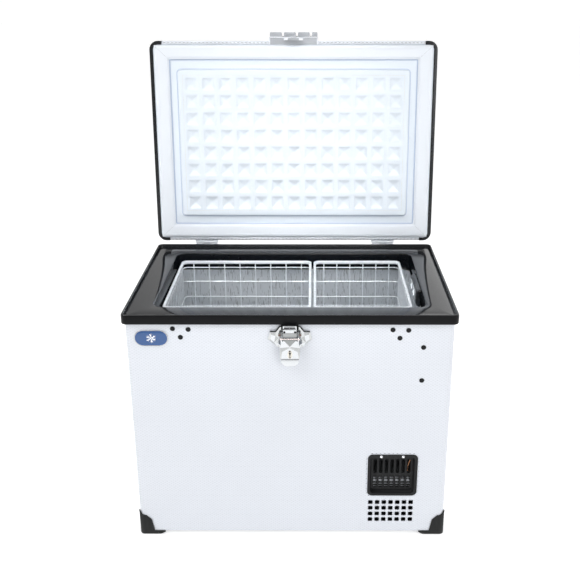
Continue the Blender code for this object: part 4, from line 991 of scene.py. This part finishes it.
def gasket():
    """A magnet seal with a soft bulb, two ribs and mitred corners."""
    def ring(out, z):
        side, front, rear = 276.5 + out * 32.5 / 24, -414 - out * 30 / 24, -43 + out * 30.6 / 24
        return [(a, b, z) for a, b in rounded(-side, side, front, rear, 1.4, 2)]

    profile = [(24, -4.0), (24, -5.0), (23.4, -6.8), (22.0, -8.4), (19.8, -9.2), (15, -9.4), (8, -9.4), (4.6, -9.2),
               (3.2, -8.7), (2.2, -7.7), (1.6, -6.8), (1.0, -6.9), (0.2, -6.6), (0, -5.6), (0, -4.0)]
    seal = loft([ring(out, z) for out, z in profile], "loop")
    ribs = []
    for out, z in ((17.6, -9.25), (2.9, -8.6)):
        ribs.append(wire([(a, b, z) for a, b, _ in ring(out, 0)], 0.45, 6, closed=True))
    piece("lid_magnet_seal", merged(seal, *ribs), WHITE_RUBBER, "lid", ["lid_gasket"], at=LID,
          angle=30)
    cuts = []
    for sx in (-1, 1):
        for cy, sy in ((-414, -1), (-43, 1)):
            cuts.append(wire([(sx * (276.5 + t * 32.5 / 24), cy + sy * t * 30 / 24, z) for t, z in
                              ((2.0, -7.6), (4.6, -9.25), (19.8, -9.28), (23.2, -7.0))], 0.22, 6))
    piece("seal_mitre_seams", merged(*cuts), GREY_PLATE_AND_SHADE, "lid", at=LID)
    crease_shade_lines = [wire([(a, b, -4.6) for a, b, _ in ring(-1.2, 0)], 1.15, 6, closed=True),
               wire([(a, b, -5.6) for a, b in rounded(-259.8, 259.8, -392.8, -62.2, 9, 6)], 0.8, 6, closed=True)]
    piece("liner_crease_lines", merged(*crease_shade_lines), BLUE_SHADE, "lid", at=LID)


gasket()


def trim_beads():
    """A rolled bead along each side trim, and the dark seam where the trim meets the skin."""
    for side, name in ((-1, "left"), (1, "right")):
        outline = rounded(-318.2, 318.2, LID_FRONT + 1, LID_REAR - 1, 18, 8)
        half = [p for p in outline if p[0] * side > 292.4]
        half.sort(key=lambda p: math.atan2(p[1] + 228.1, side * p[0] - 150))
        runs = [wire([(a, b, LID_TOP - 1.1) for a, b in half], 0.9, 8),
                wire([(a, b, LID_LOW + 0.9) for a, b in half], 0.8, 8)]
        inner = [(a, b) for a, b in rounded(-310.8, 310.8, LID_FRONT + 8.4, LID_REAR - 7.6, 11, 8)
                 if a * side > 292.4]
        inner.sort(key=lambda p: math.atan2(p[1] + 228.1, side * p[0] - 150))
        ends = [(side * 291.6, half[0][1]), *half, (side * 291.6, half[-1][1]), (side * 291.6, inner[-1][1])]
        runs.append(prism(ends + inner[::-1] + [(side * 291.6, inner[0][1])], LID_LOW - 0.6, LID_LOW + 0.9, "z", 0.3))
        piece(f"lid_trim_beads_{name}", merged(*runs), BLACK_TRIM, "lid", at=LID)


trim_beads()


def keeper():
    """The lift handle: a hollow chrome cap with four grip blocks, a waved outline and the lip for the latch."""
    face = LID_FRONT - 0.3
    cap = block((-54, face - 8, LID_LOW + 0.4), (54, face, LID_LOW + 30), 2.0, 3,
                lambda m, d: m.z > 20 or abs(d.z) > 0.9)
    cap = boolean(cap, block((-50.5, face - 6, -30), (50.5, face - 1, LID_LOW + 27), 1.5))
    blocks = []
    for number in range(4):
        x = -52 + 31 * number
        width = min(25.7, 53 - x)
        blocks.append(block((x, face - 17.9, LID_LOW + 4), (x + width, face - 7, 22), 1.3, 3))
        for groove in (0.3, 0.5, 0.7):
            line = [(x + width * groove, face - 17.8, LID_LOW + 4), (x + width * groove, face - 9, LID_LOW + 4)]
            blocks.append(wire(line, 0.35, 5))
    piece("lid_keeper_cap", cap, KEEPER_LIGHT, "lid", ["lid_keeper"], at=LID)
    piece("keeper_grip_blocks", merged(*blocks), KEEPER_GREY, "lid", at=LID)
    lip = prism([(face - 0.4, 2), (face - 0.4, -20.6), (face - 1.2, -20.8), (face - 5.4, -20.7), (face - 5.5, -19.0),
                 (face - 4.9, -18.7), (face - 2.3, -18.7), (face - 2.3, 2)], -22, 22, "x", 0.3)
    plate = block((-51.5, face - 6.4, -4.5), (51.5, HEM_FRONT + 0.6, -3.8), 0.2)
    ribs = [wire([(-51, face - 5.6 + 1.5 * k, -4.45), (51, face - 5.6 + 1.5 * k, -4.45)], 0.15, 5) for k in range(9)]
    piece("keeper_front_plate", merged(lip, plate, *ribs), KEEPER_GREY, "lid", at=LID)
    wave = []
    for k in range(61):
        x = -51 + 102 * k / 60
        dip = sum(math.exp(-((x - middle) / 6.5) ** 2) for middle in (-16.5, 16.5))
        wave.append((x, face - 7.0 + 2.2 * dip, -5.2))
    outline = [(-52.6, face - 1.4, -5.0), (-52.6, face - 5, -5.2)] + wave + [(52.6, face - 5, -5.2),
                                                                          (52.6, face - 1.4, -5.0)]
    sides = [block((x - 1.2, face - 2, -4.5), (x + 1.2, HEM_FRONT + 0.6, -3.8), 0.2) for x in (-52.6, 52.6)]
    hooks = [block((x - 4.4, face - 6.2, -21.4), (x + 4.4, face - 0.6, -19.4), 0.7, 3) for x in (-16.5, 16.5)]
    piece("keeper_wave_line", merged(wire(outline, 1.3, 8), *sides, *hooks), KEEPER_WHITE, "lid", at=LID)
    # Painted shade: grey blocks in the gaps between the grip blocks.
    gap_shade_blocks = [block((-52 + 31 * n + 26.2, face - 10, LID_LOW + 5), (-52 + 31 * n + 30.4, face - 7.6, 21), 0.3)
            for n in range(3)]
    piece("keeper_gap_shade", merged(*gap_shade_blocks), GREY_PLATE_AND_SHADE, "lid", at=LID)


keeper()


def screw(x, y, z, axis, radius=3.4, at_turn=20):
    """A cross-recessed pan-head screw."""
    head = turned([(0, 1.5), (radius * 0.5, 1.4), (radius * 0.85, 0.9), (radius, 0.2), (radius, 0), (0, 0)],
                  (0, 0, 0), (0, 0, 1), 24)
    for turn in (at_turn, at_turn + 90):
        bar = block((-radius * 0.62, -0.45, 0.75), (radius * 0.62, 0.45, 3))
        bmesh.ops.rotate(bar, matrix=Matrix.Rotation(math.radians(turn), 3, "Z"), verts=bar.verts)
        head = boolean(head, bar)
    spin = Vector((0, 0, 1)).rotation_difference(Vector(axis)).to_matrix().to_4x4()
    bmesh.ops.transform(head, matrix=Matrix.Translation((x, y, z)) @ spin, verts=head.verts)
    return head


def hinge_details():
    for side, name in ((-1, "left"), (1, "right")):
        on_body = [screw(side * x, RIM_D + 2.0, 461, (0, 1, 0), 3.6, 15 + x) for x in (189, 206.5, 224)]
        piece(f"{name}_hinge_body_screws", merged(*on_body), CHROME_SATIN, "chest")
        on_lid = [screw(side * x, -0.95, 22, (0, 1, 0), 3.2, 40 + x) for x in (190, 206.5, 223)]
        for bm in on_lid:
            low = min(v.co.y for v in bm.verts)
            for v in bm.verts:
                v.co.y = low + (v.co.y - low) * 0.6
        piece(f"{name}_hinge_lid_screws", merged(*on_lid), CHROME_SATIN, "lid", at=LID)
        knuckles = [turned([(0, b), (2.2, b), (2.9, b - 0.7), (2.9, a + 0.7), (2.2, a), (0, a)],
                           (0, 452, 497.7), (side, 0, 0), 24) for a, b in ((182, 198), (199, 199.6), (214, 231))]
        low, high = sorted((side * 182, side * 231))
        flange = prism(rounded(low, high, 486.4, 494.6, 1.6), 450.3, 451.6, "y", 0.3)
        piece(f"{name}_hinge_knuckles", merged(*knuckles, flange), KEEPER_LIGHT, "chest")
        x0, x1 = sorted((side * 180.6, side * 232.4))
        rolls = [wire([(x0, RIM_D + 1.6, 449.0), (x1, RIM_D + 1.6, 449.0)], 0.5, 6)]
        piece(f"{name}_hinge_leaf_roll", merged(*rolls), CHROME, "chest")


hinge_details()


# ---- baskets and lamp ----

def wire_basket(name, x0, x1, floor, cross, sides):
    """A dipped wire basket: a flat rim band, hoops, uprights that bend under the floor, and cross wires."""
    y0, y1, top = 79.0, 370.0, 478.0

    def hoop(inset, r, z):
        return [(a, b, z) for a, b in rounded(x0 + inset, x1 - inset, y0 + inset, y1 - inset, r, 5)]

    parts = [loft([hoop(0.5, 12, 471.4), hoop(0, 12, 472.4), hoop(0, 12, 477.0), hoop(0.9, 12, 478),
                   hoop(4.7, 9, 478), hoop(5.6, 8.6, 477.0), hoop(5.6, 8.6, 472.4), hoop(5.1, 9, 471.4)], "loop")]
    for z, radius in ((462, 1.3), (391, 1.5), (floor + 90, 1.3), (floor + 3.2, 1.7)):
        if z > floor:
            parts.append(wire(hoop(2.6, 10, z), radius, 8, closed=True))
    low = floor + 1.4
    for x in cross:
        parts.append(wire(bent([(x, y0 + 1.6, top - 3), (x, y0 + 1.6, low), (x, y1 - 1.6, low),
                                (x, y1 - 1.6, top - 3)], 8, 4), 1.25, 6))
    for y in sides:
        parts.append(wire(bent([(x0 + 1.6, y, top - 3), (x0 + 1.6, y, low + 0.2), (x1 - 1.6, y, low + 0.2),
                                (x1 - 1.6, y, top - 3)], 8, 4), 1.25, 6))
    piece(f"{name}_wires", merged(*parts), WIRE_WHITE, name, [name], angle=60)


wire_basket("basket_left", -254.0, 40.0, 110.3, [-228 + 35 * k for k in range(8)], [97 + 21.3 * k for k in range(13)])
wire_basket("basket_right", 44.5, 240.0, 250.3, [68 + 29.6 * k for k in range(6)], [93 + 13.2 * k for k in range(21)])


def lamp():
    """A curved housing with a clear cover, and two faceted reflectors that glow through it as a painted highlight."""
    section = [(266.0, 441.9), (261.0, 442.2), (257.6, 444.6), (256.1, 449.0), (255.6, 456), (255.6, 468),
               (256.3, 474.6), (258.4, 478.6), (262.4, 480.0), (266.0, 480.0)]
    rings = []
    for yy, pull in ((170, 4.0), (171.4, 1.6), (175, 0.3), (180, 0), (270, 0), (275, 0.3), (278.6, 1.6), (280, 4.0)):
        rings.append([(min(265.7, a + pull * 0.9), yy, 461 + (b - 461) * (1 - pull * 0.03)) for a, b in section])
    piece("lamp_housing", loft(rings), BLACK_GLOSS, "chest", ["interior_lamp_housing"])
    cover = prism(rounded(182.3, 267.7, 451.3, 472.7, 4.7), 254.5, 257.4, "x", 0.8, 3)
    piece("lamp_cover", cover, LENS, "chest", ["interior_lamp_lens"])
    # Painted highlight: the reflectors give off light of their own for the two bright spots.
    glow = glowing(look("lamp_reflector_painted_highlight", (0.9, 0.93, 0.97), 0.08, metallic=0.6, vary=0.03, bump=0.08),
                   (0.92, 0.97, 1.0), 1.1)
    gems = []
    for yy in (205.0, 246.0):
        ring = [(254.45, yy + a, 462 + b) for a, b in ((11, 0), (4, 4.4), (0, 8.2), (-4, 4.4), (-11, 0), (-4, -4.4),
                                                       (0, -8.2), (4, -4.4))]
        inner = [(254.05, yy + (p[1] - yy) * 0.5, 462 + (p[2] - 462) * 0.5) for p in ring]
        back = [(255.2, p[1], p[2]) for p in ring]
        gems.append(loft([back, ring, inner]))
    piece("lamp_reflector_highlight_gems", merged(*gems), glow, "chest")


lamp()


def neck_steps():
    """The ledge the baskets sit under, a soft step inside the rim frame's neck."""
    ring = [(a, b, 452.6) for a, b in rounded(-264.9, 264.9, 58.1, 389.9, 18, 6)]
    piece("rim_neck_step", wire(ring, 1.2, 8, closed=True), BLACK_GLOSS, "chest")


neck_steps()


# ---- sides, back and working parts ----

BUTTON_YS, BUTTON_Z = (142, 162, 182), 386
HANDLE_Y, HANDLE_Z = 285, 415


def panel():
    """The side control panel: a framed window with level bars and lights, and marked buttons."""
    x = CASE_X + 0.3
    outline = rounded(70, 190, 372, 432, 8, 8)
    body = prism(outline, x, x + 3.4, "x", 1.2, 3)
    body = boolean(body, prism(rounded(80, 136, 396, 424, 3), x + 2.4, x + 10, "x"))
    for y in BUTTON_YS:
        body = boolean(body, turned([(0, 1), (5.6, 1), (5.6, 9), (0, 9)], (x, y, BUTTON_Z), (1, 0, 0), 32))
    piece("panel_bezel", body, BLACK_MOULDED, "chest", ["control_panel_bezel"])
    lip = wire([(x + 3.3, a, b) for a, b in rounded(73, 187, 375, 429, 6, 8)], 0.5, 6, closed=True)
    piece("panel_bezel_line", lip, SILVER_BADGE, "chest")
    window = prism(rounded(80.4, 135.6, 396.4, 423.6, 2.7), x + 2.5, x + 3.6, "x", 0.4)
    piece("panel_window", window, DISPLAY, "chest", ["display_lens"])
    glow = glowing(look("panel_lights", (0.2, 0.75, 0.4), 0.3, vary=0.05), (0.2, 0.9, 0.5), 0.6)
    bars = [block((x + 3.5, 90 + 6 * k, 403), (x + 3.85, 93.4 + 6 * k, 407 + 2 * k), 0.12) for k in range(5)]
    bars += [turned([(0, 0.5), (1.2, 0.4), (1.5, 0), (0, 0)], (x + 3.3, y, 414), (1, 0, 0), 20)
             for y in (148, 160, 172)]
    piece("panel_light_bars", merged(*bars), glow, "chest")
    for number, y in enumerate(BUTTON_YS):
        cap = turned([(0, 4.5), (2.6, 4.45), (4.2, 4.1), (5.0, 3.4), (5.2, 2.6), (5.2, 0.1), (0, 0.1)],
                     (x + 2.8, y, BUTTON_Z), (1, 0, 0), 32)
        for v in cap.verts:
            v.co.x = min(v.co.x, x + 7.3)
        body_name = f"button_{number + 1}"
        piece(f"{body_name}_cap", cap, BUTTON_GREY, body_name, [f"control_{body_name}"])
        bars = [block((x + 7.1, y - 2.4, 385.6), (x + 7.35, y + 2.4, 386.4), 0.1)]
        if number == 1:
            bars.append(block((x + 7.1, y - 0.4, 383.6), (x + 7.35, y + 0.4, 388.4), 0.1))
        if number == 2:
            ring = [(x + 7.2, y + 2.4 * math.cos(a), 386 + 2.4 * math.sin(a))
                    for a in (2 * math.pi * k / 24 for k in range(24))]
            bars = [wire(ring, 0.25, 6, closed=True)]
        piece(f"{body_name}_mark", merged(*bars), WIRE_WHITE, body_name)


panel()


def side_handles():
    """A moulded bracket with lugs, and a ribbed sleeve on the bail that hangs from it."""
    for side, name in ((-1, "left"), (1, "right")):
        wall = side * (CASE_X + 0.3)

        def span(a, b):
            return sorted((wall + side * a, wall + side * b))

        plate = prism(rounded(215, 355, 398, 434, 8, 6), *span(0, 2.5), "x", 0.9, 3)
        raised = prism(rounded(236, 334, 403, 429, 5, 6), *span(2.0, 3.3), "x", 0.6, 2)
        parts = [plate, raised]
        for low, high in ((219, 231), (339, 351)):
            outline = [(wall + side * a, b) for a, b in
                       ((1, 404.5), (6, 405.0), (12, 406.4), (15.2, 410), (16, 415), (15.2, 420), (12, 423.6),
                        (6, 425), (1, 425.5))]
            lug = prism(outline, low, high, "y", 1.4, 3)
            hole = turned([(0, low - 5), (3.6, low - 5), (3.6, high + 5), (0, high + 5)],
                          (wall + side * 9, 0, HANDLE_Z), (0, 1, 0), 24)
            parts.append(boolean(lug, hole))
        piece(f"{name}_handle_plate", merged(*parts), BLACK_MOULDED, "chest",
              [f"{name}_handle_bracket"])
        screws = [screw(wall + side * 3.2, y, 416, (side, 0, 0), 3.6, y) for y in (246, 285, 324)]
        piece(f"{name}_handle_screws", merged(*screws), CHROME_SATIN, "chest")
        axle = wall + side * 9
        profile = [(0, -34), (3.3, -34), (4.7, -33), (5.2, -31.5)]
        for k in range(15):
            low = -30 + 4 * k
            profile += [(5.2, low), (4.6, low + 0.8), (4.6, low + 2.2), (5.2, low + 3)]
        profile += [(5.2, 31.5), (4.7, 33), (3.3, 34), (0, 34)]
        grip = turned(profile, (axle, HANDLE_Y, HANDLE_Z - 48), (0, 1, 0), 20)
        for v in grip.verts:
            away = (v.co.y - HANDLE_Y) / 34
            v.co.z += 2.9 * away ** 2 * (1.2 if abs(away) > 0.7 else 0.8)
        piece(f"{name}_handle_sleeve", grip, GRIP_RUBBER, f"{name}_handle")
        ends = [turned([(0, 0), (4.6, 0), (5.0, 0.6), (4.2, 2.4), (0, 2.8)],
                       (axle, HANDLE_Y + sign * 66.1, HANDLE_Z), (0, sign, 0), 24) for sign in (-1, 1)]
        piece(f"{name}_handle_end_caps", merged(*ends), CHROME_SATIN, f"{name}_handle")


side_handles()


def rear_details():
    corners = [screw(x, 442.3, z, (0, 1, 0), 3.4, 10 * x) for x in (117.5, 242.5) for z in (67.5, 192.5)]
    piece("rear_vent_screws", merged(*corners), CHROME_SATIN, "chest")
    blades = []
    for number in range(9):
        z = 74 + 14 * number
        blades.append(prism([(440.4, z - 3.4), (441.6, z - 3.4), (438.6, z + 3.4), (437.4, z + 3.4)],
                            124.2, 235.8, "x"))
    piece("rear_vent_blades", merged(*blades), BLACK_MOULDED, "chest")
    border = wire([(a, 442.2, b) for a, b in rounded(113.5, 246.5, 63.5, 196.5, 8.5, 6)], 0.8, 8, closed=True)
    piece("rear_vent_border", border, BLACK_MOULDED, "chest")
    pins = [turned([(0, 0), (1.9, 0), (1.9, 9), (1.2, 10), (0, 10)], (x, 426, z), (0, 1, 0), 16)
            for x, z in ((275.5, 177.5), (286.5, 177.5), (281, 184.5), (277.5, 140), (284.5, 140))]
    piece("inlet_pins", merged(*pins), CHROME_SATIN, "chest")
    fringe = [wire([(a, 445.4, b) for a, b in rounded(281 - w, 281 + w, z - h, z + h, 3, 5)], 0.7, 6, closed=True)
              for w, h, z in ((14.5, 11.5, 180), (11.5, 11.5, 140))]
    piece("inlet_fringes", merged(*fringe), BLACK_MOULDED, "chest")
    pan_screws = [screw(x, 442.6, 24, (0, 1, 0), 3.2, x) for x in (-240, -120, 0, 120, 240)]
    piece("rear_casing_screws", merged(*pan_screws), CHROME_SATIN, "chest")


rear_details()

FINISH = {
    BLACK_MOULDED: ("rear_vent_grille", "ac_inlet", "dc_inlet", "fan_shroud", "fan_rotor"),
    BLACK_TRIM: ("lid_side_trim_left", "lid_side_trim_right"),
    BLACK_METAL: ("left_handle_bail", "right_handle_bail", "fan_motor"),
    BLACK_CAST: ("compressor",),
    FIN_METAL: ("condenser",),
    STEEL: ("base_pan", "bay_bulkhead", "compressor_mount"),
    TUB_METAL: ("inner_tub",),
    FOAM: ("insulation_foam", "lid_insulation"),
    COPPER: ("evaporator_coil", "discharge_pipe", "suction_pipe", "filter_drier"),
    BOARD: ("control_module",),
    KEEPER_LIGHT: ("left_hinge_body_leaf", "left_hinge_lid_leaf", "left_hinge_pin", "right_hinge_body_leaf",
                   "right_hinge_lid_leaf", "right_hinge_pin"),
}
for MATERIAL, NODES in FINISH.items():
    for NODE in NODES:
        slots = frame["nodes"][NODE].material_slots
        for entry in slots:
            entry.material = MATERIAL


def compressor_details():
    """The compressor's weld bead, its terminal cover and the bolts of its mount."""
    bead = [(190 + 61.2 * math.cos(a), 250 + 61.2 * math.sin(a), 104.5)
            for a in (2 * math.pi * k / 48 for k in range(48))]
    piece("compressor_weld_bead", wire(bead, 1.6, 8, closed=True), STEEL, "chest")
    cover = block((170, 176, 60), (210, 190.5, 100), 3, 3)
    piece("compressor_terminal_cover", cover, BLACK_MOULDED, "chest")
    heads = [screw(x, y, 24, (0, 0, 1), 4.2, x + y) for x, y in ((132, 197), (248, 197), (132, 303), (248, 303))]
    piece("compressor_mount_bolts", merged(*heads), STEEL, "chest")


compressor_details()


# ---- floor, light and camera ----

def studio():
    floor_mesh = bpy.data.meshes.new("studio_floor")
    floor_mesh.from_pydata([(-14, -9, -0.0002), (14, -9, -0.0002), (14, 16, -0.0002), (-14, 16, -0.0002)], [],
                           [(0, 1, 2, 3)])
    pale = look("pale_studio_floor", (0.82, 0.82, 0.82), 0.8, vary=0.004, bump=0.02, specular=0.05)
    glowing(pale, (1, 1, 1), 0.53)
    floor_mesh.materials.append(pale)
    floor = link("studio_floor", floor_mesh)
    world = bpy.data.worlds.new("soft_white")
    world.use_nodes = True
    tree = world.node_tree
    backdrop = tree.nodes["Background"]
    backdrop.inputs["Color"].default_value = (1.0, 1.0, 1.0, 1)
    parts = tree.nodes.new("ShaderNodeSeparateXYZ")
    tree.links.new(tree.nodes.new("ShaderNodeTexCoord").outputs["Generated"], parts.inputs["Vector"])

    def graded(direction, **limits):
        node = tree.nodes.new("ShaderNodeMapRange")
        tree.links.new(parts.outputs[direction], node.inputs["Value"])
        for key, value in limits.items():
            node.inputs[key.replace("_", " ")].default_value = value
        return node

    grade = graded("Y", From_Min=-0.7, From_Max=0.45, To_Min=0.46, To_Max=1.03)
    across = graded("X", From_Min=-0.35, From_Max=0.3, To_Min=0.42, To_Max=1.05)
    above = graded("Z", From_Min=0.04, From_Max=0.2, To_Min=1.0)
    tree.links.new(across.outputs["Result"], above.inputs["To Max"])
    product = tree.nodes.new("ShaderNodeMath")
    product.operation = "MULTIPLY"
    tree.links.new(grade.outputs["Result"], product.inputs[0])
    tree.links.new(above.outputs["Result"], product.inputs[1])
    tree.links.new(product.outputs["Value"], backdrop.inputs["Strength"])
    bpy.context.scene.world = world
    for name, place, aim, size, power, spread in (
            ("key_left", (-1.9, -1.5, 2.9), (0, 0, 0.35), 1.8, 46, 180),
            ("lid_fill", (0.0, -0.8, 1.45), (0, 0.22, 0.53), 0.5, 0.55, 30),
            ("key_right", (1.6, -2.6, 1.5), (0, 0, 0.6), 1.2, 18, 180),
            ("top_back", (0.2, 1.6, 3.0), (0, 0, 0.6), 2.2, 13, 180)):
        lamp = bpy.data.lights.new(name, "AREA")
        lamp.shape, lamp.size, lamp.energy = "SQUARE", size, power
        lamp.spread = math.radians(spread)
        made = bpy.data.objects.new(name, lamp)
        made.location = place
        made.rotation_euler = (Vector(aim) - Vector(place)).to_track_quat("-Z", "Y").to_euler()
        bpy.context.scene.collection.objects.link(made)


def camera():
    data = bpy.data.cameras.new("camera")
    data.lens, data.sensor_width = 54.64, 36.0
    data.shift_x, data.shift_y = -0.0383, 0.0158
    data.clip_end = 60
    made = bpy.data.objects.new("camera", data)
    made.location = (0.04484, -1.78686, 1.11244)
    made.rotation_euler = tuple(math.radians(a) for a in (69.024, 0.0, 0.10))
    bpy.context.scene.collection.objects.link(made)
    bpy.context.scene.camera = made


studio()
camera()
bpy.context.scene.view_settings.view_transform = "Standard"
